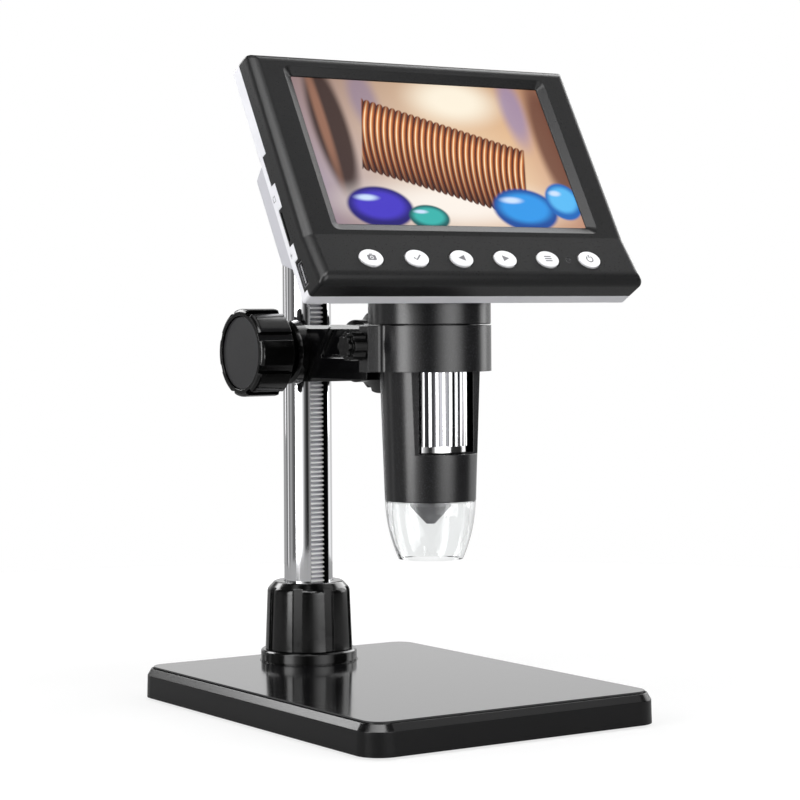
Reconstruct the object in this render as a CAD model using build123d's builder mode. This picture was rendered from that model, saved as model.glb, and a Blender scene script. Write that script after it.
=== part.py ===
from build123d import *
import math
import os

# Digital microscope with a built-in display, in millimetres.
# Origin: centre of the base's footprint, on the surface that its feet rest on.
# +Z is up, +Y is the back (the column's side), +X is the right seen from the front.

# ---------------------------------------------------------------- stand
base_width = 109.2              # at the top of the side wall
base_depth = 147.0
base_corner_radius = 8.0
base_wall_height = 7.45
base_wall_draft = 1.5           # degrees, wider at the bottom
base_edge_run = 1.3             # sloped edge above the side wall
base_edge_rise = 2.2
base_rim_width = 0.35
panel_groove_width = 0.5
panel_thickness = 1.6
panel_proud = 0.66              # above the rim round it
tray_wall = 3.0
tray_ceiling = 1.8
cover_thickness = 1.5
cover_lip = 1.6                 # how far the cover's seat reaches into the tray wall
cover_gap = 0.2
foot_proud = 0.6
foot_radius = 6.0
foot_pocket = 1.0
foot_inset = (13.0, 18.5)
cover_screw_inset = 8.1
cover_boss_radius = 3.2
cover_screw_radius = 1.4
cover_screw_head_radius = 2.6
cover_screw_head_height = 1.0
weight_width = 84.0
weight_depth = 92.0
weight_thickness = 4.6
weight_offset_y = -14.0

# ---------------------------------------------------------------- column
column_back_inset = 22.0        # column axis to the back of the side wall
column_radius = 8.4
column_bore_radius = 6.4
column_top_z = 197.6
slot_width = 7.0
slot_top_margin = 4.0
socket_seat_radius = 16.8
socket_step_radius = 16.0
socket_step_height = 0.4
socket_flange_radius = 16.6
socket_flange_height = 3.6
socket_flange_chamfer = 0.5
sleeve_radius = 10.6
sleeve_height = 18.7
socket_floor = 3.0              # below the tube, above the seat on the tray
collet_slit_width = 1.2
collet_slit_depth = 14.0
socket_screw_circle_radius = 12.4
socket_screw_radius = 1.5
socket_screw_head_radius = 2.7
socket_screw_head_height = 1.6
socket_screw_reach = 3.4        # above the tray's recess
nut_seam = 0.2
nut_foot_radius = 15.05
nut_shoulder_radius = 14.25
nut_body_height = 20.7
nut_top_radius = 11.8
nut_top_height = 2.6
nut_shoulder_fillet = 2.4
nut_top_fillet = 1.2
nut_flutes = 8
nut_flute_width = 3.3
nut_flute_depth = 0.8
nut_flute_start = -2.2          # degrees from +X
nut_cone_height = 2.2
bolt_radius = 3.0
bolt_head_across_corners = 11.0
bolt_head_height = 3.8
bolt_reach = 15.0               # into the tube above the socket's floor
foot_plug_height = 18.0
cap_disc_height = 1.6
cap_spigot_height = 5.6

# ---------------------------------------------------------------- rack and pinion
gear_module = 0.5
pinion_teeth = 28
pressure_angle = 20.0
tooth_thinning = 0.06           # share of half a pitch, taken off every tooth
root_clearance = 0.25           # in modules
rack_face_width = 5.8
pinion_width = 5.4
rack_pitch_depth = 5.3          # pitch line in front of the column axis
shaft_radius = 3.0
shaft_half_length = 30.0

# ---------------------------------------------------------------- carriage
carriage_z = 117.9              # knob axis
arm_half_width = 12.0
arm_top_rise = 9.1
arm_housing_drop = 10.0
arm_web_drop = 8.7
carriage_sleeve_radius = 12.5
carriage_sleeve_drop = 8.6
housing_front_low = 21.3        # in front of the column axis
housing_front_high = 37.0
web_end = 57.0
panel_recess = 1.2
recess_drop = 1.9               # recess bottom below the knob axis
recess_rise = 7.6
recess_end_low = 46.6
recess_end_high = 44.0
arm_edge_chamfer = 1.1
slant_groove_width = 1.3
slant_groove_depth = 0.5
slant_groove_back = 1.6
pinion_pocket_radius = 8.0
pinion_pocket_width = 6.2
bush_radius = 4.0
bush_flange_radius = 10.8
bush_flange_thickness = 4.5
bush_flange_chamfer = 1.0
brake_radius = 2.4
brake_shoe_length = 2.0
brake_screw_length = 1.7

# ---------------------------------------------------------------- knobs
knob_gap = 0.3
knob_radius = 14.8
knob_hub_radius = 6.5
knob_hub_length = 2.2
knob_back_radius = 10.0
knob_back_length = 2.4
knob_rim_length = 12.5
knob_rim_fillet = 1.4
knob_lobes = 8
knob_groove_width = 3.0
knob_groove_depth = 1.4
knob_cap_radius = 12.35
knob_cap_thickness = 1.5
knob_cap_inset = 0.6
knob_cap_clearance = 0.05

# ---------------------------------------------------------------- clamp ring and thumb screw
head_reach = 75.8               # column axis to the barrel axis
ring_radius = 19.85
ring_height = 14.7
boss_width = 5.0
boss_reach = 25.2
boss_root_fillet = 2.0
thumb_drop = 6.4                # thumb screw axis below the ring's top
thumb_radius = 4.7
thumb_body_length = 4.6
thumb_end_radius = 3.5
thumb_end_length = 1.6
thumb_lobes = 6
thumb_notch_radius = 1.6
thumb_notch_depth = 0.6
thumb_gap = 1.2
thumb_thread_radius = 1.5
thumb_pad_radius = 2.2
thumb_pad_length = 2.0
thumb_pad_clearance = 0.15
thumb_travel = 1.0              # how far the pad backs off when the screw is loosened

# ---------------------------------------------------------------- barrel
running_clearance = 0.05
barrel_radius = 16.2
barrel_waist_radius = 16.1
barrel_foot_radius = 14.65
barrel_bore_radius = 13.9
barrel_bottom_z = 70.9
barrel_top_z = 148.0
window_depth = 9.2              # flat of the roller window in front of the barrel axis
window_bottom_z = 86.0
window_height = 27.6
window_corner_radius = 2.0
shelf_thickness = 2.3
shelf_bore_radius = 5.4
roller_end_gap = 0.3
roller_radius = 12.2
roller_valley_radius = 11.75
roller_ribs = 32
roller_rib_radius = 0.62
roller_band_height = 1.9
carrier_radius = 10.4
carrier_bore_radius = 8.5
carrier_bottom_z = 92.0
carrier_lip = 1.0
carrier_key_width = 3.0
carrier_key_height = 3.0
carrier_key_rise = 2.6          # key above the retainer's lower face
carrier_key_reach = 1.8
key_clearance = 0.05
lens_thickness = 4.2
lens_edge_fillet = 1.6
retainer_height = 6.0
retainer_rim_height = 4.5
retainer_rim_wall = 0.95
sensor_board_thickness = 1.2
sensor_size = (8.0, 6.0, 1.0)
led_board_z = 75.2
led_board_thickness = 1.4
led_count = 8
led_circle_radius = 10.4
led_size = (3.2, 2.6, 0.9)
nozzle_radius = 6.6
nozzle_shoulder_z = 69.3
nozzle_tip_z = 63.7
nozzle_tip_radius = 1.45
nozzle_wall = 1.4
nozzle_aperture_radius = 0.85
nozzle_flange_radius = 9.5
nozzle_flange_height = 2.0
cap_wall = 1.2
cap_seam = 0.3
cap_shoulder_radius = 14.6
cap_waist_radius = 12.6
cap_waist_z = 58.3
cap_bottom_radius = 10.35
cap_bottom_z = 52.2
cap_spigot_rise = 3.9
cap_spigot_wall = 1.1
collar_radius = 19.75
collar_seam = 0.25
neck_nut_radius = 18.4
neck_nut_height = 2.6
neck_floor = 2.0
cable_width = 8.0
cable_thickness = 0.4
cable_bend_radius = 3.0
cable_offset_y = 3.0
cable_rise = 3.5                # vertical run above the barrel
cable_stub = 5.0
cable_board_v = -19.0

# ---------------------------------------------------------------- display unit
screen_tilt = 29.87             # degrees from upright
screen_lead = 7.28              # picture's centre in front of the barrel axis
screen_centre_z = 181.69
bezel_side = 13.78              # picture's edge to the unit's side
unit_top = 35.0                 # above the picture's centre, along the slope
unit_bottom = 49.3
bezel_front = 1.5               # in front of the picture's plane
seam_depth = 5.8                # black and white shells meet, behind the picture's plane
back_depth = 12.5
back_edge_chamfer = 2.5
unit_corner_radius = 1.0
front_edge_fillet = 3.4
crease_drop = 31.8
chin_angle = 7.5
chin_wall = 1.8
shell_wall = 2.0
window_run = 3.17               # sloped wall of the window, all round
window_radius = 2.5
picture_width = 95.04
picture_height = 53.86
picture_margin = 0.2
gasket_thickness = 0.3
gasket_width = 3.4
lcd_border = (5.23, 6.17)
lcd_thickness = 3.0
lcd_drop = 2.7
button_end = 19.8               # outermost button's centre to the unit's side
button_width = 8.3
button_height = 6.3
button_gap = 0.35
button_drop = 9.2
button_proud = 0.6
button_edge = 0.35
button_flange = 0.7
button_flange_thickness = 0.8
button_rest_gap = 0.3
button_stem_radius = 1.2
button_stem_length = 0.9
button_travel = 0.6
switch_gap = 0.3
switch_size = 4.5
switch_height = 1.4
switch_plunger_radius = 1.0
switch_plunger_height = 0.2
keypad_end = 13.3               # keypad board's end to the unit's side
keypad_height = 7.2
keypad_thickness = 1.0
keypad_post_radius = 1.5
keypad_post_steps = (-2, 0, 1)  # in button pitches from the middle
indicator_step = 2
indicator_radius = 0.85
indicator_gap = 0.1
main_board_front = 5.3          # behind the picture's plane
main_board_thickness = 1.0
main_board_side = 9.3           # board's edge to the unit's side
main_board_top = 28.0
main_board_bottom = 46.0
tab_side_gap = 0.15
tabs = ((-9.0, 1.5, 2.1), (-30.6, -17.8, 2.2), (-46.8, -36.2, 1.8))   # low, high, depth
card_slot_range = (-29.3, -19.0)
card_slot_height = 0.9
card_socket_depth = 14.0
card_socket_height = 1.7
usb_range = (-45.6, -37.3)
usb_height = 2.8
usb_depth = 9.2
usb_sink = 0.3                  # rim of the socket behind the side wall
port_clearance = 0.1
usb_wall = 0.3
socket_wall_gap = 0.2
post_radius = 2.8
post_places_v = (29.0, -33.0)
post_inset = 5.3
case_screw_radius = 1.1
case_screw_clearance = 0.2
case_screw_head_radius = 2.2
case_screw_head_height = 1.4
case_screw_sink = 3.0           # head seat in front of the cover's back
case_screw_reach = 3.8          # past the seam
board_pad_radius = 2.0
board_pad_inset = 4.5           # from the board's edge
board_pad_rise = 14.0
hump_side = 15.3                # hump's end to the unit's side
hump_depth = 38.5
hump_top = 23.2
hump_back_top = 11.0
hump_back_bottom = -18.0
hump_bottom = -42.8
hump_fillet = 2.5
fairing_radius = 21.5
fairing_top_z = 154.6
battery_radius = 9.2
battery_end = 13.5              # cell's end to the hump's end
battery_v = -1.0
battery_gap = 0.3
cradle_inset = 8.5              # cradle rib to the cell's end
cradle_thickness = 1.6

# ---------------------------------------------------------------- places worked out from the sizes
wall_top_z = foot_proud + base_wall_height
base_top_z = wall_top_z + base_edge_rise + panel_proud
recess_floor_z = base_top_z - panel_thickness
ceiling_z = recess_floor_z - tray_ceiling
cover_top_z = foot_proud + cover_thickness
column_y = base_depth / 2 - column_back_inset
head_y = column_y - head_reach
pitch_radius = gear_module * pinion_teeth / 2
knob_y = column_y - rack_pitch_depth - pitch_radius
draft_run = base_wall_height * math.tan(math.radians(base_wall_draft))
base_edge_angle = math.degrees(math.atan2(base_edge_run, base_edge_rise))

column_axis = Plane((0, column_y, 0))
head_axis = Plane((0, head_y, 0))
knob_axis = Plane((0, knob_y, carriage_z), x_dir=(0, 1, 0), z_dir=(-1, 0, 0))


def rounded_base(inset):
    """The base's outline, drawn in by inset all round."""
    RectangleRounded(base_width - 2 * inset, base_depth - 2 * inset, base_corner_radius - inset)


# ================================================================ base
recess_inset = base_edge_run + base_rim_width
cover_inset = tray_wall - cover_lip
cavity_x = base_width / 2 - cover_screw_inset
cavity_y = base_depth / 2 - cover_screw_inset
foot_x = base_width / 2 - foot_inset[0]
foot_y = base_depth / 2 - foot_inset[1]
foot_top_z = foot_proud + foot_pocket

with BuildPart() as base_tray:
    with BuildSketch(Plane.XY.offset(foot_proud)):
        rounded_base(-draft_run)
    extrude(amount=base_wall_height, taper=base_wall_draft)
    with BuildSketch(Plane.XY.offset(wall_top_z)):
        rounded_base(0)
    extrude(amount=base_edge_rise, taper=base_edge_angle)
    with BuildSketch(Plane.XY.offset(base_top_z)):
        rounded_base(recess_inset)
    extrude(amount=-panel_thickness, mode=Mode.SUBTRACT)
    with BuildSketch(Plane.XY.offset(foot_proud)):
        rounded_base(cover_inset)
    extrude(amount=cover_thickness, mode=Mode.SUBTRACT)
    with BuildSketch(Plane.XY.offset(cover_top_z)):
        rounded_base(tray_wall)
    extrude(amount=ceiling_z - cover_top_z, mode=Mode.SUBTRACT)
    with BuildSketch(Plane.XY.offset(cover_top_z)):
        with GridLocations(2 * cavity_x, 2 * cavity_y, 2, 2):
            Circle(cover_boss_radius)
            Circle(cover_screw_radius, mode=Mode.SUBTRACT)
    extrude(amount=ceiling_z - cover_top_z)
    with BuildSketch(column_axis.offset(ceiling_z)):
        Circle(bolt_radius)
        with PolarLocations(socket_screw_circle_radius, 3, start_angle=90):
            Circle(socket_screw_radius)
    extrude(amount=tray_ceiling, mode=Mode.SUBTRACT)

with BuildPart() as base_top_panel:
    with BuildSketch(Plane.XY.offset(recess_floor_z)):
        rounded_base(recess_inset + panel_groove_width)
        with Locations((0, column_y)):
            Circle(socket_seat_radius + cover_gap, mode=Mode.SUBTRACT)
    extrude(amount=panel_thickness)

with BuildPart() as base_bottom_cover:
    with BuildSketch(Plane.XY.offset(foot_proud)):
        rounded_base(cover_inset + cover_gap)
        with GridLocations(2 * cavity_x, 2 * cavity_y, 2, 2):
            Circle(cover_screw_radius, mode=Mode.SUBTRACT)
    extrude(amount=cover_thickness)
    with BuildSketch(Plane.XY.offset(foot_proud)):
        with GridLocations(2 * foot_x, 2 * foot_y, 2, 2):
            Circle(foot_radius)
    extrude(amount=foot_pocket, mode=Mode.SUBTRACT)
    with BuildSketch(Plane.XY.offset(foot_proud)):
        with GridLocations(2 * cavity_x, 2 * cavity_y, 2, 2):
            Circle(cover_screw_head_radius)
    extrude(amount=cover_screw_head_height, mode=Mode.SUBTRACT)

with BuildPart() as base_feet:
    with BuildSketch(Plane.XY):
        with GridLocations(2 * foot_x, 2 * foot_y, 2, 2):
            Circle(foot_radius)
    extrude(amount=foot_top_z)
    chamfer(base_feet.edges().group_by(Axis.Z)[0], length=foot_proud / 3)

with BuildPart() as base_weight:
    with BuildSketch(Plane.XY.offset(cover_top_z)):
        with Locations((0, weight_offset_y)):
            RectangleRounded(weight_width, weight_depth, base_corner_radius / 2)
    extrude(amount=weight_thickness)

with BuildPart() as base_screws:
    with BuildSketch(Plane.XY.offset(foot_proud)):
        with GridLocations(2 * cavity_x, 2 * cavity_y, 2, 2):
            Circle(cover_screw_head_radius)
    extrude(amount=cover_screw_head_height)
    with BuildSketch(Plane.XY.offset(foot_proud + cover_screw_head_height)):
        with GridLocations(2 * cavity_x, 2 * cavity_y, 2, 2):
            Circle(cover_screw_radius)
    extrude(amount=ceiling_z - foot_proud - cover_screw_head_height)
    with BuildSketch(column_axis.offset(ceiling_z)):
        with PolarLocations(socket_screw_circle_radius, 3, start_angle=90):
            Circle(socket_screw_head_radius)
    extrude(amount=-socket_screw_head_height)
    with BuildSketch(column_axis.offset(ceiling_z)):
        with PolarLocations(socket_screw_circle_radius, 3, start_angle=90):
            Circle(socket_screw_radius)
    extrude(amount=tray_ceiling + socket_screw_reach)

# ================================================================ column
flange_bottom_z = base_top_z + socket_step_height
flange_top_z = flange_bottom_z + socket_flange_height
tube_bottom_z = recess_floor_z + socket_floor
sleeve_top_z = flange_top_z + sleeve_height
sleeve_bore_radius = column_radius + running_clearance

with BuildPart() as column_socket:
    with BuildSketch(column_axis.offset(recess_floor_z)):
        Circle(socket_seat_radius)
    extrude(amount=panel_thickness)
    with BuildSketch(column_axis.offset(base_top_z)):
        Circle(socket_step_radius)
    extrude(amount=socket_step_height)
    with BuildSketch(column_axis.offset(flange_bottom_z)):
        Circle(socket_flange_radius)
    extrude(amount=socket_flange_height)
    chamfer(
        column_socket.edges().filter_by(GeomType.CIRCLE).group_by(Axis.Z)[-1],
        length=socket_flange_chamfer,
    )
    with BuildSketch(column_axis.offset(flange_top_z)):
        Circle(sleeve_radius)
    extrude(amount=sleeve_height)
    with BuildSketch(column_axis.offset(tube_bottom_z)):
        Circle(sleeve_bore_radius)
    extrude(amount=sleeve_top_z - tube_bottom_z, mode=Mode.SUBTRACT)
    with BuildSketch(column_axis.offset(sleeve_top_z)):
        with PolarLocations(0, 2):
            Rectangle(3 * sleeve_radius, collet_slit_width)
            Rectangle(collet_slit_width, 3 * sleeve_radius)
    extrude(amount=-collet_slit_depth, mode=Mode.SUBTRACT)
    with BuildSketch(column_axis.offset(recess_floor_z)):
        Circle(bolt_radius)
    extrude(amount=socket_floor, mode=Mode.SUBTRACT)
    with BuildSketch(column_axis.offset(recess_floor_z)):
        with PolarLocations(socket_screw_circle_radius, 3, start_angle=90):
            Circle(socket_screw_radius)
    extrude(amount=socket_screw_reach, mode=Mode.SUBTRACT)

nut_bottom_z = flange_top_z + nut_seam
nut_shoulder_z = nut_bottom_z + nut_body_height
nut_top_z = nut_shoulder_z + nut_top_height
nut_bore_radius = sleeve_radius + running_clearance
nut_cone_z = sleeve_top_z + nut_seam
nut_body_angle = math.degrees(math.atan2(nut_foot_radius - nut_shoulder_radius, nut_body_height))
nut_profile = (
    (nut_bore_radius, nut_bottom_z),
    (nut_foot_radius, nut_bottom_z),
    (nut_shoulder_radius, nut_shoulder_z),
    (nut_top_radius, nut_top_z),
    (column_radius + nut_seam, nut_top_z),
    (column_radius + nut_seam, nut_cone_z + nut_cone_height),
    (nut_bore_radius, nut_cone_z),
)

with BuildPart() as column_lock_nut:
    with BuildSketch(Plane((0, column_y, 0), x_dir=(1, 0, 0), z_dir=(0, -1, 0))):
        with BuildLine():
            Polyline(*nut_profile, close=True)
        make_face()
    revolve(axis=Axis((0, column_y, 0), (0, 0, 1)))
    rings = column_lock_nut.edges().filter_by(GeomType.CIRCLE)
    for radius, height, rounding in (
        (nut_shoulder_radius, nut_shoulder_z, nut_shoulder_fillet),
        (nut_top_radius, nut_top_z, nut_top_fillet),
    ):
        edges = [
            edge for edge in rings
            if abs(edge.radius - radius) < 0.01 and abs(edge.center().Z - height) < 0.01
        ]
        fillet(ShapeList(edges), radius=rounding)
        rings = column_lock_nut.edges().filter_by(GeomType.CIRCLE)
    for flute in range(nut_flutes):
        angle = math.radians(nut_flute_start + flute * 360 / nut_flutes)
        lean = math.radians(nut_body_angle)
        outward = Vector(
            math.cos(angle) * math.cos(lean), math.sin(angle) * math.cos(lean), math.sin(lean)
        )
        middle = (nut_foot_radius + nut_shoulder_radius) / 2
        centre = (
            middle * math.cos(angle),
            column_y + middle * math.sin(angle),
            nut_bottom_z + nut_body_height / 2,
        )
        with BuildSketch(Plane(centre, x_dir=(-math.sin(angle), math.cos(angle), 0), z_dir=outward)):
            Rectangle(nut_flute_width, 2 * nut_body_height)
        extrude(amount=nut_flute_depth, both=True, mode=Mode.SUBTRACT)

plug_top_z = tube_bottom_z + foot_plug_height
slot_bottom_z = sleeve_top_z + nut_seam
slot_top_z = column_top_z - slot_top_margin

with BuildPart() as column_tube:
    with BuildSketch(column_axis.offset(tube_bottom_z)):
        Circle(column_radius)
        Circle(column_bore_radius, mode=Mode.SUBTRACT)
    extrude(amount=column_top_z - tube_bottom_z)
    with BuildSketch(Plane((0, column_y, slot_bottom_z))):
        with Locations((0, -column_radius)):
            Rectangle(slot_width, column_radius)
    extrude(amount=slot_top_z - slot_bottom_z, mode=Mode.SUBTRACT)

with BuildPart() as column_foot_plug:
    with BuildSketch(column_axis.offset(tube_bottom_z)):
        Circle(column_bore_radius)
        Circle(bolt_radius, mode=Mode.SUBTRACT)
    extrude(amount=foot_plug_height)

with BuildPart() as column_bolt:
    with BuildSketch(column_axis.offset(ceiling_z)):
        RegularPolygon(bolt_head_across_corners / 2, 6)
    extrude(amount=-bolt_head_height)
    with BuildSketch(column_axis.offset(ceiling_z)):
        Circle(bolt_radius)
    extrude(amount=tube_bottom_z + bolt_reach - ceiling_z)

with BuildPart() as column_cap:
    with BuildSketch(column_axis.offset(column_top_z)):
        Circle(column_radius)
    extrude(amount=cap_disc_height)
    fillet(column_cap.edges().group_by(Axis.Z)[-1], radius=cap_disc_height * 0.6)
    with BuildSketch(column_axis.offset(column_top_z)):
        Circle(column_bore_radius)
    extrude(amount=-cap_spigot_height)

# ================================================================ rack and pinion
tooth_pitch = math.pi * gear_module
half_tooth = tooth_pitch / 4 * (1 - tooth_thinning)
flank_lean = math.tan(math.radians(pressure_angle))
addendum = gear_module
dedendum = gear_module * (1 + root_clearance)
rack_back_depth = rack_pitch_depth - dedendum
rack_bar_radius = column_bore_radius - running_clearance
rack_top_z = column_top_z - cap_spigot_height
rack_slot_bottom = slot_bottom_z + tooth_pitch
teeth_below = int((carriage_z - rack_slot_bottom) / tooth_pitch)
teeth_above = int((slot_top_z - tooth_pitch - carriage_z) / tooth_pitch)
half_root = half_tooth + dedendum * flank_lean
half_tip = half_tooth - addendum * flank_lean
rack_pitch_y = column_y - rack_pitch_depth
rack_outline = [(column_y - rack_back_depth + 1, carriage_z - teeth_below * tooth_pitch)]
for tooth in range(-teeth_below, teeth_above):
    tooth_z = carriage_z + (tooth + 0.5) * tooth_pitch
    rack_outline += [
        (rack_pitch_y + dedendum, tooth_z - half_root),
        (rack_pitch_y - addendum, tooth_z - half_tip),
        (rack_pitch_y - addendum, tooth_z + half_tip),
        (rack_pitch_y + dedendum, tooth_z + half_root),
    ]
rack_outline.append((column_y - rack_back_depth + 1, carriage_z + teeth_above * tooth_pitch))

with BuildPart() as rack:
    with BuildSketch(column_axis.offset(plug_top_z)):
        Circle(rack_bar_radius)
        with Locations((0, rack_bar_radius + 1)):
            Rectangle(2 * rack_bar_radius, 2 * rack_bar_radius, mode=Mode.SUBTRACT)
        with Locations((0, -rack_back_depth - rack_bar_radius)):
            Rectangle(2 * rack_bar_radius, 2 * rack_bar_radius, mode=Mode.SUBTRACT)
    extrude(amount=rack_top_z - plug_top_z)
    with BuildSketch(Plane.YZ):
        with BuildLine():
            Polyline(*rack_outline, close=True)
        make_face()
    extrude(amount=rack_face_width / 2, both=True)

base_circle = pitch_radius * math.cos(math.radians(pressure_angle))
pinion_tip = pitch_radius + addendum
pinion_root = pitch_radius - dedendum


def involute(radius):
    """Angle that an involute from the base circle has turned through at a radius."""
    roll = math.acos(min(1.0, base_circle / radius))
    return math.tan(roll) - roll


pinion_half_tooth = half_tooth / pitch_radius + involute(pitch_radius)
flank_radii = [base_circle + (pinion_tip - base_circle) * step / 4 for step in range(5)]
pinion_outline = []
for tooth in range(pinion_teeth):
    middle = tooth * 2 * math.pi / pinion_teeth
    flank = [(pinion_root, pinion_half_tooth)]
    flank += [(radius, pinion_half_tooth - involute(radius)) for radius in flank_radii]
    sides = [(radius, middle - turn) for radius, turn in flank]
    sides += [(radius, middle + turn) for radius, turn in reversed(flank)]
    pinion_outline += [(radius * math.cos(turn), radius * math.sin(turn)) for radius, turn in sides]

with BuildPart() as pinion:
    with BuildSketch(knob_axis):
        with BuildLine():
            Polyline(*pinion_outline, close=True)
        make_face()
        Circle(shaft_radius, mode=Mode.SUBTRACT)
    extrude(amount=pinion_width / 2, both=True)

with BuildPart() as pinion_shaft:
    with BuildSketch(knob_axis):
        Circle(shaft_radius)
    extrude(amount=shaft_half_length, both=True)
    chamfer(pinion_shaft.edges().filter_by(GeomType.CIRCLE), length=shaft_radius / 6)

# ================================================================ carriage arm
arm_top_z = carriage_z + arm_top_rise
arm_web_z = carriage_z - arm_web_drop
arm_housing_z = carriage_z - arm_housing_drop
ring_bottom_z = arm_top_z - ring_height
carriage_sleeve_z = carriage_z - carriage_sleeve_drop
web_step = arm_housing_drop - arm_web_drop
slant = (housing_front_high - housing_front_low) / (arm_top_z - arm_housing_z)
thumb_z = arm_top_z - thumb_drop


def slant_y(height, behind=0.0):
    """Y of the housing's slanted front edge at a height, less an offset behind it."""
    return column_y - housing_front_low - (height - arm_housing_z) * slant + behind


ring_wall = ring_radius - barrel_radius
recess_low_z = carriage_z - recess_drop
recess_high_z = carriage_z + recess_rise
ring_back = column_y - head_reach + ring_radius - ring_wall / 2
arm_outline = (
    (column_y, arm_housing_z),
    (column_y - housing_front_low, arm_housing_z),
    (column_y - housing_front_low - web_step, arm_web_z),
    (column_y - web_end, arm_web_z),
    (column_y - web_end, ring_bottom_z),
    (ring_back, ring_bottom_z),
    (ring_back, arm_top_z),
    (column_y, arm_top_z),
)
recess_ledge_z = recess_low_z + panel_recess
recess_outline = (
    (slant_y(recess_ledge_z), recess_ledge_z),
    (column_y - recess_end_low, recess_ledge_z),
    (column_y - recess_end_high, recess_high_z),
    (slant_y(recess_high_z), recess_high_z),
)
groove_outline = (
    (slant_y(arm_web_z, slant_groove_back), arm_web_z),
    (slant_y(arm_top_z, slant_groove_back), arm_top_z),
    (slant_y(arm_top_z, slant_groove_back + slant_groove_width), arm_top_z),
    (slant_y(arm_web_z, slant_groove_back + slant_groove_width), arm_web_z),
)
left_side = Plane((-arm_half_width, 0, 0), x_dir=(0, 1, 0), z_dir=(1, 0, 0))
ledge_plane = Plane((0, slant_y(recess_ledge_z), 0), x_dir=(1, 0, 0), z_dir=(0, -1, 0))
brake_plane = Plane((0, column_y, carriage_z), x_dir=(1, 0, 0), z_dir=(0, 1, 0))
thumb_plane = Plane((0, head_y, thumb_z), x_dir=(0, 1, 0), z_dir=(-1, 0, 0))
brake_start = column_radius + running_clearance
barrel_bore = barrel_radius + running_clearance
pad_inner = barrel_radius + thumb_pad_clearance

with BuildPart() as carriage_arm:
    with BuildSketch(left_side):
        with BuildLine():
            Polyline(*arm_outline, close=True)
        make_face()
    extrude(amount=arm_half_width)
    top_edges = carriage_arm.edges().filter_by(Axis.Y).group_by(Axis.Z)[-1]
    chamfer(top_edges.sort_by(Axis.X)[0], length=arm_edge_chamfer)
    with BuildSketch(left_side):
        with BuildLine():
            Polyline(*recess_outline, close=True)
        make_face()
    extrude(amount=panel_recess, mode=Mode.SUBTRACT)
    with BuildSketch(ledge_plane):
        with BuildLine():
            Polyline(
                (-arm_half_width, recess_low_z),
                (-arm_half_width, recess_ledge_z),
                (panel_recess - arm_half_width, recess_ledge_z),
                close=True,
            )
        make_face()
    extrude(amount=ledge_plane.origin.Y - column_y + recess_end_low, mode=Mode.SUBTRACT)
    with BuildSketch(left_side):
        with BuildLine():
            Polyline(*groove_outline, close=True)
        make_face()
    extrude(amount=slant_groove_depth, mode=Mode.SUBTRACT)
    mirror(about=Plane.YZ)
    with BuildSketch(column_axis.offset(carriage_sleeve_z)):
        Circle(carriage_sleeve_radius)
    extrude(amount=arm_top_z - carriage_sleeve_z)
    with BuildSketch(head_axis.offset(ring_bottom_z)):
        Circle(ring_radius)
        with Locations((-boss_reach / 2, 0)):
            Rectangle(boss_reach, boss_width)
    extrude(amount=ring_height)
    boss_roots = carriage_arm.edges().filter_by(Axis.Z).filter_by(
        lambda edge: abs(abs(edge.center().Y - head_y) - boss_width / 2) < 0.01
        and -ring_radius - 0.5 < edge.center().X < -ring_radius + 1
    )
    fillet(boss_roots, radius=boss_root_fillet)
    with BuildSketch(column_axis.offset(arm_housing_z)):
        Circle(sleeve_bore_radius)
    extrude(amount=arm_top_z - arm_housing_z, mode=Mode.SUBTRACT)
    with BuildSketch(head_axis.offset(ring_bottom_z)):
        Circle(barrel_bore)
    extrude(amount=ring_height, mode=Mode.SUBTRACT)
    with BuildSketch(knob_axis):
        Circle(pinion_pocket_radius)
    extrude(amount=pinion_pocket_width / 2, both=True, mode=Mode.SUBTRACT)
    with BuildSketch(knob_axis):
        Circle(bush_radius)
    extrude(amount=arm_half_width, both=True, mode=Mode.SUBTRACT)
    for flange_seat in (knob_axis.offset(arm_half_width), knob_axis.offset(-carriage_sleeve_radius)):
        with BuildSketch(flange_seat):
            Circle(bush_flange_radius)
        extrude(amount=carriage_sleeve_radius - arm_half_width, mode=Mode.SUBTRACT)
    with BuildSketch(brake_plane):
        Circle(brake_radius)
    extrude(amount=carriage_sleeve_radius, mode=Mode.SUBTRACT)
    with BuildSketch(thumb_plane):
        Circle(thumb_thread_radius + running_clearance)
    extrude(amount=boss_reach, mode=Mode.SUBTRACT)
    with BuildSketch(thumb_plane):
        Circle(thumb_pad_radius + running_clearance)
    extrude(amount=pad_inner + thumb_pad_length + thumb_travel + thumb_gap, mode=Mode.SUBTRACT)

with BuildPart() as hub_bushes:
    with BuildSketch(knob_axis.offset(arm_half_width)):
        Circle(bush_flange_radius)
    extrude(amount=bush_flange_thickness)
    chamfer(hub_bushes.edges().group_by(Axis.X)[0], length=bush_flange_chamfer)
    with BuildSketch(knob_axis.offset(pinion_pocket_width / 2)):
        Circle(bush_radius)
    extrude(amount=arm_half_width - pinion_pocket_width / 2)
    with BuildSketch(knob_axis):
        Circle(shaft_radius + running_clearance)
    extrude(amount=arm_half_width + bush_flange_thickness, mode=Mode.SUBTRACT)
    mirror(about=Plane.YZ)

with BuildPart() as brake_shoe:
    with BuildSketch(brake_plane.offset(brake_start)):
        Circle(brake_radius)
    extrude(amount=brake_shoe_length)

with BuildPart() as brake_screw:
    with BuildSketch(brake_plane.offset(brake_start + brake_shoe_length)):
        Circle(brake_radius)
    extrude(amount=brake_screw_length)
    with BuildSketch(brake_plane.offset(brake_start + brake_shoe_length + brake_screw_length)):
        RegularPolygon(brake_radius / 2, 6)
    extrude(amount=-brake_screw_length / 2, mode=Mode.SUBTRACT)

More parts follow.
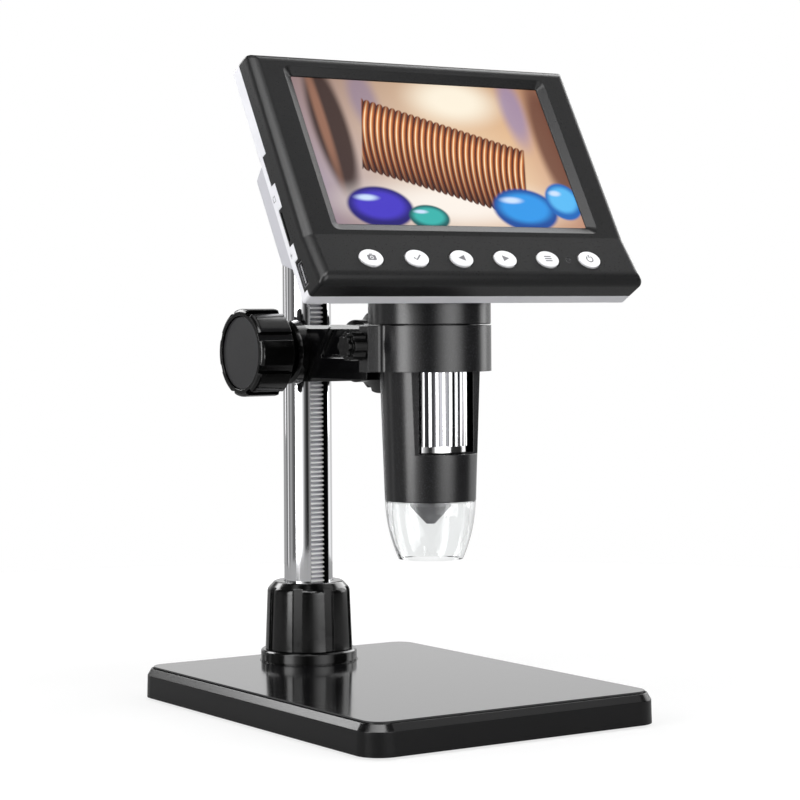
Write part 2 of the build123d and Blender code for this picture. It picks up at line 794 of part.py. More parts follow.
# ================================================================ knobs
knob_start = arm_half_width + bush_flange_thickness + knob_gap
knob_back = knob_start + knob_hub_length
knob_rim = knob_back + knob_back_length
knob_end = knob_rim + knob_rim_length
knob_pocket = knob_cap_radius + knob_cap_clearance
knob_pocket_depth = knob_cap_thickness + knob_cap_inset

with BuildPart() as left_knob:
    with BuildSketch(knob_axis.offset(knob_rim)):
        Circle(knob_radius)
    extrude(amount=knob_rim_length)
    fillet(left_knob.edges().group_by(Axis.X)[0], radius=knob_rim_fillet)
    with BuildSketch(knob_axis.offset(knob_rim)):
        Circle(knob_radius)
    with BuildSketch(knob_axis.offset(knob_back)):
        Circle(knob_back_radius)
    loft()
    with BuildSketch(knob_axis.offset(knob_back - knob_back_length)):
        with PolarLocations(knob_radius, knob_lobes, start_angle=180 / knob_lobes):
            Rectangle(2 * knob_groove_depth, knob_groove_width)
    extrude(amount=knob_end, mode=Mode.SUBTRACT)
    with BuildSketch(knob_axis.offset(knob_end - knob_pocket_depth)):
        Circle(knob_pocket)
    extrude(amount=knob_pocket_depth, mode=Mode.SUBTRACT)
    with BuildSketch(knob_axis.offset(knob_start)):
        Circle(knob_hub_radius)
    extrude(amount=knob_hub_length)
    with BuildSketch(knob_axis):
        Circle(shaft_radius)
    extrude(amount=shaft_half_length, mode=Mode.SUBTRACT)

with BuildPart() as right_knob:
    mirror(left_knob.part, about=Plane.YZ)

with BuildPart() as left_knob_cap:
    with BuildSketch(knob_axis.offset(knob_end - knob_pocket_depth)):
        Circle(knob_cap_radius)
    extrude(amount=knob_cap_thickness)
    chamfer(left_knob_cap.edges().group_by(Axis.X)[0], length=knob_cap_inset / 2)

with BuildPart() as right_knob_cap:
    mirror(left_knob_cap.part, about=Plane.YZ)

# ================================================================ thumb screw
thumb_start = boss_reach + thumb_gap
thumb_notch_offset = thumb_notch_radius - thumb_notch_depth

with BuildPart() as thumb_screw_pad:
    with BuildSketch(thumb_plane.offset(pad_inner)):
        Circle(thumb_pad_radius)
    extrude(amount=thumb_pad_length)

with BuildPart() as thumb_screw:
    with BuildSketch(thumb_plane.offset(thumb_start)):
        Circle(thumb_radius)
        with PolarLocations(thumb_radius + thumb_notch_offset, thumb_lobes, start_angle=180 / thumb_lobes):
            Circle(thumb_notch_radius, mode=Mode.SUBTRACT)
    extrude(amount=thumb_body_length)
    with BuildSketch(thumb_plane.offset(thumb_start + thumb_body_length)):
        Circle(thumb_end_radius)
        with PolarLocations(thumb_end_radius + thumb_notch_offset, thumb_lobes, start_angle=180 / thumb_lobes):
            Circle(thumb_notch_radius, mode=Mode.SUBTRACT)
    extrude(amount=thumb_end_length)
    with BuildSketch(thumb_plane.offset(pad_inner + thumb_pad_length)):
        Circle(thumb_thread_radius)
    extrude(amount=thumb_start - pad_inner - thumb_pad_length)

# ================================================================ barrel and optics
profile_plane = Plane((0, head_y, 0), x_dir=(1, 0, 0), z_dir=(0, -1, 0))
barrel_line = Axis((0, head_y, 0), (0, 0, 1))
window_top_z = window_bottom_z + window_height
shelf_top_z = window_bottom_z + roller_end_gap
shelf_bottom_z = shelf_top_z - shelf_thickness
barrel_profile = (
    (barrel_bore_radius, barrel_bottom_z),
    (barrel_foot_radius, barrel_bottom_z),
    (barrel_waist_radius, ring_bottom_z),
    (barrel_radius, ring_bottom_z),
    (barrel_radius, barrel_top_z),
    (barrel_bore_radius, barrel_top_z),
    (barrel_bore_radius, shelf_top_z),
    (shelf_bore_radius, shelf_top_z),
    (shelf_bore_radius, shelf_bottom_z),
    (barrel_bore_radius, shelf_bottom_z),
)

with BuildPart() as barrel_shell:
    with BuildSketch(profile_plane):
        with BuildLine():
            Polyline(*barrel_profile, close=True)
        make_face()
    revolve(axis=barrel_line)
    with BuildSketch(profile_plane.offset(window_depth)):
        with Locations((0, (window_bottom_z + window_top_z) / 2)):
            RectangleRounded(2 * barrel_radius, window_height, window_corner_radius)
    extrude(amount=barrel_radius, mode=Mode.SUBTRACT)

roller_bottom_z = shelf_top_z + roller_end_gap
roller_bore_radius = carrier_radius + running_clearance

with BuildPart() as focus_roller:
    with BuildSketch(head_axis.offset(roller_bottom_z)):
        Circle(roller_valley_radius)
        with PolarLocations(roller_radius - roller_rib_radius, roller_ribs):
            Circle(roller_rib_radius)
        Circle(roller_bore_radius, mode=Mode.SUBTRACT)
    extrude(amount=window_top_z - roller_bottom_z)
    with BuildSketch(head_axis.offset(roller_bottom_z)):
        Circle(roller_radius)
        Circle(roller_bore_radius, mode=Mode.SUBTRACT)
    extrude(amount=roller_band_height)

retainer_z = window_top_z + roller_end_gap
retainer_top_z = retainer_z + retainer_height
sensor_board_z = retainer_top_z + retainer_rim_height
retainer_radius = barrel_bore_radius - running_clearance
keyway_reach = carrier_radius + carrier_key_reach + key_clearance

with BuildPart() as roller_retainer:
    with BuildSketch(head_axis.offset(retainer_z)):
        Circle(retainer_radius)
        Circle(roller_bore_radius, mode=Mode.SUBTRACT)
        Rectangle(2 * keyway_reach, carrier_key_width + 2 * key_clearance, mode=Mode.SUBTRACT)
    extrude(amount=retainer_height)
    with BuildSketch(head_axis.offset(retainer_top_z)):
        Circle(retainer_radius)
        Circle(retainer_radius - retainer_rim_wall, mode=Mode.SUBTRACT)
    extrude(amount=retainer_rim_height)

key_z = retainer_z + carrier_key_rise
carrier_top_z = key_z + carrier_key_height

with BuildPart() as lens_carrier:
    with BuildSketch(head_axis.offset(carrier_bottom_z)):
        Circle(carrier_radius)
        Circle(carrier_bore_radius - carrier_lip, mode=Mode.SUBTRACT)
    extrude(amount=carrier_lip)
    with BuildSketch(head_axis.offset(carrier_bottom_z + carrier_lip)):
        Circle(carrier_radius)
        Circle(carrier_bore_radius, mode=Mode.SUBTRACT)
    extrude(amount=carrier_top_z - carrier_bottom_z - carrier_lip)
    with BuildSketch(head_axis.offset(key_z)):
        Rectangle(2 * (carrier_radius + carrier_key_reach), carrier_key_width)
        Circle(carrier_bore_radius, mode=Mode.SUBTRACT)
    extrude(amount=carrier_key_height)

lens_z = carrier_bottom_z + carrier_lip

with BuildPart() as objective_lens:
    with BuildSketch(head_axis.offset(lens_z)):
        Circle(carrier_bore_radius)
    extrude(amount=lens_thickness)
    fillet(objective_lens.edges().group_by(Axis.Z)[-1], radius=lens_edge_fillet)

with BuildPart() as sensor_board:
    with BuildSketch(head_axis.offset(sensor_board_z)):
        Circle(retainer_radius)
    extrude(amount=sensor_board_thickness)

with BuildPart() as image_sensor:
    with BuildSketch(head_axis.offset(sensor_board_z)):
        Rectangle(sensor_size[0], sensor_size[1])
    extrude(amount=-sensor_size[2])

with BuildPart() as led_ring_board:
    with BuildSketch(head_axis.offset(led_board_z)):
        Circle(barrel_bore_radius - running_clearance)
        Circle(nozzle_radius + running_clearance, mode=Mode.SUBTRACT)
    extrude(amount=led_board_thickness)

with BuildPart() as leds:
    with BuildSketch(head_axis.offset(led_board_z)):
        with PolarLocations(led_circle_radius, led_count):
            Rectangle(led_size[1], led_size[0])
    extrude(amount=-led_size[2])

nozzle_flange_z = led_board_z + led_board_thickness
nozzle_bore = nozzle_radius - nozzle_wall
nozzle_profile = (
    (nozzle_aperture_radius, nozzle_tip_z),
    (nozzle_tip_radius, nozzle_tip_z),
    (nozzle_radius, nozzle_shoulder_z),
    (nozzle_radius, nozzle_flange_z),
    (nozzle_flange_radius, nozzle_flange_z),
    (nozzle_flange_radius, nozzle_flange_z + nozzle_flange_height),
    (nozzle_radius, nozzle_flange_z + nozzle_flange_height),
    (nozzle_radius, shelf_bottom_z),
    (nozzle_bore, shelf_bottom_z),
    (nozzle_bore, nozzle_shoulder_z),
)

with BuildPart() as lens_nozzle:
    with BuildSketch(profile_plane):
        with BuildLine():
            Polyline(*nozzle_profile, close=True)
        make_face()
    revolve(axis=barrel_line)

cap_top_z = barrel_bottom_z - cap_seam
cap_spigot_radius = barrel_bore_radius - running_clearance
cap_spigot_bore = cap_spigot_radius - cap_spigot_wall
cap_spigot_top_z = barrel_bottom_z + cap_spigot_rise
cap_middle_z = (cap_waist_z + cap_bottom_z) / 2

with BuildPart() as clear_cap:
    with BuildSketch(profile_plane):
        with BuildLine():
            Line((cap_spigot_bore, cap_spigot_top_z), (cap_spigot_radius, cap_spigot_top_z))
            Line((cap_spigot_radius, cap_spigot_top_z), (cap_spigot_radius, cap_top_z))
            Line((cap_spigot_radius, cap_top_z), (cap_shoulder_radius, cap_top_z))
            Spline(
                (cap_shoulder_radius, cap_top_z),
                (cap_waist_radius, cap_waist_z),
                (cap_bottom_radius, cap_bottom_z),
            )
            Line((cap_bottom_radius, cap_bottom_z), (cap_bottom_radius - cap_wall, cap_bottom_z))
            Spline(
                (cap_bottom_radius - cap_wall, cap_bottom_z),
                (cap_waist_radius - cap_wall, cap_waist_z + cap_wall / 2),
                (cap_spigot_bore, cap_top_z),
            )
            Line((cap_spigot_bore, cap_top_z), (cap_spigot_bore, cap_spigot_top_z))
        make_face()
    revolve(axis=barrel_line)

neck_floor_top_z = barrel_top_z - neck_nut_height
neck_floor_z = neck_floor_top_z - neck_floor
collar_z = arm_top_z + collar_seam

with BuildPart() as neck_collar:
    with BuildSketch(head_axis.offset(collar_z)):
        Circle(collar_radius)
        Circle(barrel_radius, mode=Mode.SUBTRACT)
    extrude(amount=neck_floor_z - collar_z)
    chamfer(neck_collar.edges().group_by(Axis.Z)[0].sort_by(SortBy.RADIUS)[-1], length=0.3)

with BuildPart() as neck_nut:
    with BuildSketch(head_axis.offset(neck_floor_top_z)):
        Circle(neck_nut_radius)
        Circle(barrel_radius, mode=Mode.SUBTRACT)
    extrude(amount=neck_nut_height)

# ================================================================ display unit
tilt = math.radians(screen_tilt)
slope_dir = Vector(0, math.sin(tilt), math.cos(tilt))
front_dir = Vector(0, -math.cos(tilt), math.sin(tilt))
screen_centre = Vector(0, head_y - screen_lead, screen_centre_z)
face_plane = Plane(screen_centre, x_dir=(1, 0, 0), z_dir=front_dir)
side_plane = Plane(screen_centre, x_dir=slope_dir, z_dir=(1, 0, 0))
front_axis = Axis(screen_centre, front_dir)
chin_radians = math.radians(chin_angle)
chin_lean = tilt + chin_radians
crease = screen_centre - slope_dir * crease_drop + front_dir * bezel_front
chin_plane = Plane(crease, x_dir=(1, 0, 0), z_dir=(0, -math.cos(chin_lean), math.sin(chin_lean)))
chin_front = bezel_front + (unit_bottom - crease_drop) * math.tan(chin_radians)
chin_inner = chin_front - chin_wall - shell_wall * math.tan(chin_radians)
unit_height = unit_top + unit_bottom
unit_half_width = picture_width / 2 + bezel_side
window_half_width = picture_width / 2 + window_run
window_half_height = picture_height / 2 + window_run
lcd_width = picture_width + 2 * lcd_border[0]
lcd_height = picture_height + 2 * lcd_border[1]
main_board_half_width = unit_half_width - main_board_side
board_pad_places = (main_board_half_width - board_pad_inset, board_pad_rise)
keypad_width = 2 * (unit_half_width - keypad_end)
button_pitch = (unit_half_width - button_end) / 2.5
keypad_post_places = [step * button_pitch for step in keypad_post_steps]
indicator_place = indicator_step * button_pitch
hump_half_width = unit_half_width - hump_side
battery_length = 2 * (hump_half_width - battery_end)
cradle_half_span = battery_length / 2 - cradle_inset
unit_middle = (unit_top - unit_bottom) / 2
inner_half_width = unit_half_width - shell_wall
post_x = unit_half_width - post_inset
post_spots = [(side * post_x, v) for side in (-1, 1) for v in post_places_v]
button_spots = [((place - 2.5) * button_pitch, -button_drop) for place in range(6)]
bezel_outline = (
    (unit_top, -seam_depth),
    (unit_top, bezel_front),
    (-crease_drop, bezel_front),
    (-unit_bottom, chin_front),
    (-unit_bottom, -seam_depth),
)
bezel_hollow = (
    (unit_top - shell_wall, -seam_depth),
    (unit_top - shell_wall, 0),
    (-crease_drop, 0),
    (-crease_drop, bezel_front - chin_wall),
    (shell_wall - unit_bottom, chin_inner),
    (shell_wall - unit_bottom, -seam_depth),
)
card_slot_v = sum(card_slot_range) / 2
card_slot_length = card_slot_range[1] - card_slot_range[0]
card_slot_depth = main_board_front + main_board_thickness + card_socket_height / 2
usb_v = sum(usb_range) / 2
usb_length = usb_range[1] - usb_range[0]
usb_centre = main_board_front + main_board_thickness / 2
left_wall = Plane(
    screen_centre - Vector(unit_half_width, 0, 0), x_dir=slope_dir, z_dir=(1, 0, 0)
)

with BuildPart() as front_bezel:
    with BuildSketch(side_plane):
        with BuildLine():
            Polyline(*bezel_outline, close=True)
        make_face()
    extrude(amount=unit_half_width, both=True)
    fillet(front_bezel.edges().filter_by(front_axis), radius=unit_corner_radius)
    fronts = [face for face in front_bezel.faces() if face.normal_at().dot(front_dir) > 0.95]
    rim = [edge for face in fronts for edge in face.edges() if (edge.center() - crease).length > 0.01]
    fillet(ShapeList(rim), radius=front_edge_fillet)
    with BuildSketch(side_plane):
        with BuildLine():
            Polyline(*bezel_hollow, close=True)
        make_face()
    extrude(amount=inner_half_width, both=True, mode=Mode.SUBTRACT)
    with BuildSketch(face_plane.offset(bezel_front)):
        RectangleRounded(2 * window_half_width, 2 * window_half_height, window_radius)
    with BuildSketch(face_plane):
        RectangleRounded(
            picture_width + 2 * picture_margin, picture_height + 2 * picture_margin, window_radius / 4
        )
    loft(mode=Mode.SUBTRACT)
    with BuildSketch(chin_plane):
        with Locations(*button_spots):
            Ellipse(button_width / 2 + button_gap, button_height / 2 + button_gap)
        with Locations((indicator_place, -button_drop)):
            Circle(indicator_radius + indicator_gap)
    extrude(amount=-2 * chin_wall, mode=Mode.SUBTRACT)
    keypad_depth = (
        chin_wall + button_rest_gap + button_flange_thickness + button_stem_length
        + switch_gap + button_travel + switch_plunger_height + switch_height
    )
    with BuildSketch(chin_plane.offset(-chin_wall / 2)):
        with Locations(*[(place, -button_drop) for place in keypad_post_places]):
            Circle(keypad_post_radius)
    extrude(amount=chin_wall / 2 - keypad_depth)
    with BuildSketch(face_plane.offset(-seam_depth)):
        with Locations(*post_spots):
            Circle(post_radius)
            Circle(case_screw_radius, mode=Mode.SUBTRACT)
    extrude(amount=seam_depth)
    with BuildSketch(left_wall):
        for low, high, depth in tabs:
            with Locations(((low + high) / 2, -seam_depth - depth / 2)):
                Rectangle(high - low, depth)
    extrude(amount=shell_wall)
    with BuildSketch(left_wall):
        with Locations((card_slot_v, -card_slot_depth)):
            Rectangle(card_slot_length, card_slot_height)
        with Locations((usb_v, -usb_centre)):
            Rectangle(usb_length + 2 * port_clearance, usb_height + 2 * port_clearance)
    extrude(amount=shell_wall, mode=Mode.SUBTRACT)

with BuildPart() as lcd_gasket:
    with BuildSketch(face_plane.offset(-gasket_thickness)):
        Rectangle(picture_width + 2 * gasket_width, picture_height + 2 * gasket_width)
        Rectangle(
            picture_width + 2 * picture_margin, picture_height + 2 * picture_margin, mode=Mode.SUBTRACT
        )
    extrude(amount=gasket_thickness)

with BuildPart() as lcd_panel:
    with BuildSketch(face_plane.offset(-gasket_thickness)):
        with Locations((0, -lcd_drop)):
            Rectangle(lcd_width, lcd_height)
    extrude(amount=-lcd_thickness)

button_names = ("capture", "confirm", "left", "right", "menu", "power")
button_bottom = chin_wall + button_rest_gap
buttons = {}
for name, spot in zip(button_names, button_spots):
    with BuildPart() as button:
        with BuildSketch(chin_plane.offset(-button_bottom)):
            with Locations(spot):
                Ellipse(button_width / 2, button_height / 2)
        extrude(amount=button_bottom + button_proud)
        fillet(button.edges().sort_by(Axis(crease, chin_plane.z_dir))[-1], radius=button_edge)
        with BuildSketch(chin_plane.offset(-button_bottom)):
            with Locations(spot):
                Ellipse(button_width / 2 + button_flange, button_height / 2 + button_flange)
        extrude(amount=-button_flange_thickness)
        with BuildSketch(chin_plane.offset(-button_bottom - button_flange_thickness)):
            with Locations(spot):
                Circle(button_stem_radius)
        extrude(amount=-button_stem_length)
    buttons["button_" + name] = button

switch_top = keypad_depth - switch_height

with BuildPart() as keypad_board:
    with BuildSketch(chin_plane.offset(-keypad_depth)):
        with Locations((0, -button_drop)):
            Rectangle(keypad_width, keypad_height)
    extrude(amount=-keypad_thickness)

with BuildPart() as tact_switches:
    with BuildSketch(chin_plane.offset(-keypad_depth)):
        with Locations(*button_spots):
            Rectangle(switch_size, switch_size)
    extrude(amount=switch_height)
    with BuildSketch(chin_plane.offset(-switch_top)):
        with Locations(*button_spots):
            Circle(switch_plunger_radius)
    extrude(amount=switch_plunger_height)

with BuildPart() as indicator_lens:
    with BuildSketch(chin_plane.offset(-keypad_depth)):
        with Locations((indicator_place, -button_drop)):
            Circle(indicator_radius)
    extrude(amount=keypad_depth)

board_back = main_board_front + main_board_thickness
board_height = main_board_top + main_board_bottom
socket_face_x = unit_half_width - shell_wall - socket_wall_gap
usb_face_x = unit_half_width - usb_sink

with BuildPart() as main_board:
    with BuildSketch(face_plane.offset(-main_board_front)):
        with Locations((0, (main_board_top - main_board_bottom) / 2)):
            Rectangle(2 * main_board_half_width, board_height)
        with Locations((-(main_board_half_width + socket_face_x) / 2, card_slot_v)):
            Rectangle(socket_face_x - main_board_half_width, card_slot_length)
        with Locations((-usb_face_x + usb_depth / 2, usb_v)):
            Rectangle(usb_depth, usb_length, mode=Mode.SUBTRACT)
    extrude(amount=-main_board_thickness)

with BuildPart() as card_socket:
    with BuildSketch(face_plane.offset(-board_back)):
        with Locations((-socket_face_x + card_socket_depth / 2, card_slot_v)):
            Rectangle(card_socket_depth, card_slot_length)
    extrude(amount=-card_socket_height)
    with BuildSketch(
        Plane(screen_centre - Vector(socket_face_x, 0, 0), x_dir=slope_dir, z_dir=(1, 0, 0))
    ):
        with Locations((card_slot_v, -card_slot_depth)):
            Rectangle(card_slot_length - 2 * usb_wall, card_slot_height - port_clearance)
    extrude(amount=card_socket_depth - usb_wall, mode=Mode.SUBTRACT)

with BuildPart() as usb_socket:
    with BuildSketch(
        Plane(screen_centre - Vector(usb_face_x, 0, 0), x_dir=slope_dir, z_dir=(1, 0, 0))
    ):
        with Locations((usb_v, -usb_centre)):
            Rectangle(usb_length, usb_height)
            Rectangle(usb_length - 2 * usb_wall, usb_height - 2 * usb_wall, mode=Mode.SUBTRACT)
            Rectangle(usb_length - 6 * usb_wall, usb_height / 4)
    extrude(amount=usb_depth)
    with BuildSketch(
        Plane(
            screen_centre - Vector(usb_face_x - usb_depth, 0, 0), x_dir=slope_dir, z_dir=(1, 0, 0)
        )
    ):
        with Locations((usb_v, -usb_centre)):
            Rectangle(usb_length, usb_height)
    extrude(amount=-usb_wall)

battery_depth = hump_depth - shell_wall - battery_gap - battery_radius

with BuildPart() as battery_cell:
    with BuildSketch(side_plane):
        with Locations((battery_v, -battery_depth)):
            Circle(battery_radius)
    extrude(amount=battery_length / 2, both=True)
    chamfer(battery_cell.edges().filter_by(GeomType.CIRCLE), length=0.8)

# the rear cover's seat for the neck, trimmed where it would reach the boards
neck_seat_front = board_back + battery_gap * 3

with BuildPart() as neck_seat:
    with BuildSketch(head_axis.offset(neck_floor_z)):
        Circle(fairing_radius)
        Circle(barrel_radius + button_gap, mode=Mode.SUBTRACT)
    extrude(amount=neck_floor)
    with BuildSketch(face_plane.offset(-neck_seat_front)):
        Rectangle(4 * fairing_radius, 8 * fairing_radius)
    extrude(amount=2 * fairing_radius, mode=Mode.SUBTRACT)

with BuildPart() as neck_fairing:
    with BuildSketch(head_axis.offset(neck_floor_z)):
        Circle(fairing_radius)
    extrude(amount=fairing_top_z - neck_floor_z)
    fillet(neck_fairing.edges().group_by(Axis.Z)[-1], radius=hump_fillet)
    with BuildSketch(face_plane.offset(-back_depth)):
        Rectangle(4 * fairing_radius, 8 * fairing_radius)
    extrude(amount=4 * fairing_radius, mode=Mode.SUBTRACT)

hump_outline = (
    (hump_top, 1 - back_depth),
    (hump_top, -back_depth),
    (hump_back_top, -hump_depth),
    (hump_back_bottom, -hump_depth),
    (hump_bottom, -back_depth),
    (hump_bottom, 1 - back_depth),
)
top_lean = math.atan2(hump_top - hump_back_top, hump_depth - back_depth)
bottom_lean = math.atan2(hump_back_bottom - hump_bottom, hump_depth - back_depth)
top_inset = shell_wall / math.cos(top_lean)
bottom_inset = shell_wall / math.cos(bottom_lean)
hump_hollow = (
    (hump_top - top_inset, shell_wall - back_depth),
    (hump_back_top - top_inset + shell_wall * math.tan(top_lean), shell_wall - hump_depth),
    (hump_back_bottom + bottom_inset - shell_wall * math.tan(bottom_lean), shell_wall - hump_depth),
    (hump_bottom + bottom_inset, shell_wall - back_depth),
)

with BuildPart() as rear_cover:
    with BuildSketch(face_plane.offset(-seam_depth)):
        with Locations((0, unit_middle)):
            Rectangle(2 * unit_half_width, unit_height)
    extrude(amount=seam_depth - back_depth)
    chamfer(rear_cover.edges().group_by(front_axis)[0], length=back_edge_chamfer)
    fillet(rear_cover.edges().filter_by(front_axis), radius=unit_corner_radius)
    with BuildSketch(side_plane):
        with BuildLine():
            Polyline(*hump_outline, close=True)
        make_face()
    extrude(amount=hump_half_width, both=True)
    back_face = rear_cover.faces().sort_by(front_axis)[0]
    fillet(back_face.edges(), radius=hump_fillet)
    add(neck_fairing.part)
    with BuildSketch(face_plane.offset(-seam_depth)):
        with Locations((0, unit_middle)):
            Rectangle(2 * inner_half_width, unit_height - 2 * shell_wall)
    extrude(amount=seam_depth - back_depth + shell_wall, mode=Mode.SUBTRACT)
    with BuildSketch(side_plane):
        with BuildLine():
            Polyline(*hump_hollow, close=True)
        make_face()
    extrude(amount=hump_half_width - shell_wall, both=True, mode=Mode.SUBTRACT)
    with BuildSketch(head_axis.offset(neck_floor_top_z)):
        Circle(fairing_radius - shell_wall)
    extrude(amount=fairing_top_z - shell_wall - neck_floor_top_z, mode=Mode.SUBTRACT)
    with BuildSketch(head_axis.offset(collar_z)):
        Circle(collar_radius + battery_gap)
    extrude(amount=neck_floor_z - collar_z, mode=Mode.SUBTRACT)
    add(neck_seat.part)
    with BuildSketch(head_axis.offset(neck_floor_z)):
        Circle(barrel_radius + button_gap)
    extrude(amount=neck_floor, mode=Mode.SUBTRACT)
    for side in (-1, 1):
        with BuildSketch(side_plane.offset(side * cradle_half_span - cradle_thickness / 2)):
            with Locations((battery_v, -(battery_depth + hump_depth) / 2)):
                Rectangle(2 * battery_radius, hump_depth - battery_depth)
            with Locations((battery_v, -battery_depth)):
                Circle(battery_radius + battery_gap / 2, mode=Mode.SUBTRACT)
        extrude(amount=cradle_thickness)
    with BuildSketch(face_plane.offset(-seam_depth)):
        with Locations(*post_spots):
            Circle(post_radius)
    extrude(amount=seam_depth - back_depth)
    with BuildSketch(face_plane.offset(-board_back)):
        with GridLocations(2 * board_pad_places[0], 2 * board_pad_places[1], 2, 2):
            Circle(board_pad_radius)
    extrude(amount=board_back - back_depth)
    with BuildSketch(face_plane.offset(-seam_depth)):
        with Locations(*post_spots):
            Circle(case_screw_radius + case_screw_clearance)
    extrude(amount=seam_depth - back_depth, mode=Mode.SUBTRACT)
    with BuildSketch(face_plane.offset(case_screw_sink - back_depth)):
        with Locations(*post_spots):
            Circle(case_screw_head_radius + case_screw_clearance)
    extrude(amount=-case_screw_sink, mode=Mode.SUBTRACT)
    with BuildSketch(left_wall):
        for low, high, depth in tabs:
            with Locations(((low + high) / 2, -seam_depth - depth / 2)):
                Rectangle(high - low + 2 * tab_side_gap, depth + 2 * tab_side_gap)
    extrude(amount=shell_wall, mode=Mode.SUBTRACT)

with BuildPart() as case_screws:
    with BuildSketch(face_plane.offset(case_screw_sink - back_depth)):
        with Locations(*post_spots):
            Circle(case_screw_head_radius)
    extrude(amount=-case_screw_head_height)
    with BuildSketch(face_plane.offset(case_screw_sink - back_depth)):
        with Locations(*post_spots):
            Circle(case_screw_radius)
    extrude(amount=back_depth - case_screw_sink - seam_depth + case_screw_reach)

# ribbon from the sensor board to the back of the main board, in the plane x = 0
cable_start = Vector(0, head_y + cable_offset_y, sensor_board_z + sensor_board_thickness)
cable_turn = Vector(0, cable_start.Y, barrel_top_z + cable_rise)
cable_end = screen_centre + slope_dir * cable_board_v - front_dir * board_back
cable_near_end = cable_end - front_dir * cable_stub

with BuildPart() as camera_cable:
    with BuildLine() as cable_path:
        FilletPolyline(cable_start, cable_turn, cable_near_end, cable_end, radius=cable_bend_radius)
    with BuildSketch(Plane(cable_start, x_dir=(1, 0, 0), z_dir=(0, 0, 1))):
        Rectangle(cable_width, cable_thickness)
    sweep(path=cable_path.line)

# ================================================================ files
pieces = {
    "base_tray": base_tray,
    "base_top_panel": base_top_panel,
    "base_weight": base_weight,
    "base_bottom_cover": base_bottom_cover,
    "base_feet": base_feet,
    "base_screws": base_screws,
    "column_socket": column_socket,
    "column_lock_nut": column_lock_nut,
    "column_tube": column_tube,
    "column_foot_plug": column_foot_plug,
    "column_bolt": column_bolt,
    "column_cap": column_cap,
    "rack": rack,
    "pinion": pinion,
    "pinion_shaft": pinion_shaft,
    "carriage_arm": carriage_arm,
    "hub_bushes": hub_bushes,
    "brake_shoe": brake_shoe,
    "brake_screw": brake_screw,
    "left_knob": left_knob,
    "right_knob": right_knob,
    "left_knob_cap": left_knob_cap,
    "right_knob_cap": right_knob_cap,
    "thumb_screw": thumb_screw,
    "thumb_screw_pad": thumb_screw_pad,
    "barrel_shell": barrel_shell,
    "focus_roller": focus_roller,
    "roller_retainer": roller_retainer,
    "lens_carrier": lens_carrier,
    "objective_lens": objective_lens,
    "sensor_board": sensor_board,
    "image_sensor": image_sensor,
    "led_ring_board": led_ring_board,
    "leds": leds,
    "lens_nozzle": lens_nozzle,
    "clear_cap": clear_cap,
    "neck_collar": neck_collar,
    "neck_nut": neck_nut,
    "camera_cable": camera_cable,
    "front_bezel": front_bezel,
    "lcd_gasket": lcd_gasket,
    "lcd_panel": lcd_panel,
    "keypad_board": keypad_board,
    "tact_switches": tact_switches,
    "indicator_lens": indicator_lens,
    "main_board": main_board,
    "card_socket": card_socket,
    "usb_socket": usb_socket,
    "battery_cell": battery_cell,
    "rear_cover": rear_cover,
    "case_screws": case_screws,
    **buttons,
}

os.makedirs("parts", exist_ok=True)
for node, piece in pieces.items():
    piece.part.label = node
    export_step(piece.part, f"parts/{node}.step")
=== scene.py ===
import math

import bpy
from mathutils import Matrix, Vector


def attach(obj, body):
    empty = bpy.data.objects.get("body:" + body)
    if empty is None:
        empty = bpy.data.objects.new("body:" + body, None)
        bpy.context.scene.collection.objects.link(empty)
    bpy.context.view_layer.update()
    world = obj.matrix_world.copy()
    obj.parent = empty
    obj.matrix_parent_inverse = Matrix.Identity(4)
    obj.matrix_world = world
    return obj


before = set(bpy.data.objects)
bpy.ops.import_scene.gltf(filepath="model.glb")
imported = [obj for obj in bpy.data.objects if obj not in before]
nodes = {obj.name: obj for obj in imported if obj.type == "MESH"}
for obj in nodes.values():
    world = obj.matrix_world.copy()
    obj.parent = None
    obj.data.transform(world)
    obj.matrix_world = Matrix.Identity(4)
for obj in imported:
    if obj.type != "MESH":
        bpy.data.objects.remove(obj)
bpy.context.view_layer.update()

MM = 0.001
scene = bpy.context.scene

# ---------------------------------------------------------------- places shared with the CAD model
# lengths are in millimetres, and vectors in metres
RIGHT = Vector((1, 0, 0))
SCREEN_TILT = math.radians(29.87)
SCREEN_CENTRE = Vector((0, -31.58, 181.69)) * MM
UP_SLOPE = Vector((0, math.sin(SCREEN_TILT), math.cos(SCREEN_TILT)))
SCREEN_OUT = Vector((0, -math.cos(SCREEN_TILT), math.sin(SCREEN_TILT)))
HUMP_DEPTH = 13.0               # the rear cover's raised back starts this far behind the picture
UNIT_HALF_WIDTH = 61.3
CHIN_LEAN = SCREEN_TILT + math.radians(7.5)
CREASE_DROP = 31.8              # from the picture's centre down to the top of the chin
CREASE_PROUD = 1.5
CREASE = SCREEN_CENTRE - UP_SLOPE * CREASE_DROP * MM + SCREEN_OUT * CREASE_PROUD * MM
CHIN_UP = Vector((0, math.sin(CHIN_LEAN), math.cos(CHIN_LEAN)))
CHIN_OUT = Vector((0, -math.cos(CHIN_LEAN), math.sin(CHIN_LEAN)))
KEY_PITCH = 16.6
KEY_DROP = 9.2                  # from the crease down to the keys' centres
KEY_PROUD = 0.6
HEAD_AXIS = (0, -24.3 * MM, 0)
CLAMP_RING_RADIUS = 20.4
SCREW_BOSS_X = -16.0            # the thumb screw's boss is all to the left of this
ROLLER_VALLEY_RADIUS = 11.74
ROLLER_RIB_RADIUS = 11.87
COLUMN_Y = 51.5
SLOT_HALF_WIDTH = 3.5
RACK_TIP_Y = COLUMN_Y - 5.8
RACK_TOOTH_DEPTH = 1.1
RACK_HALF_WIDTH = 2.86


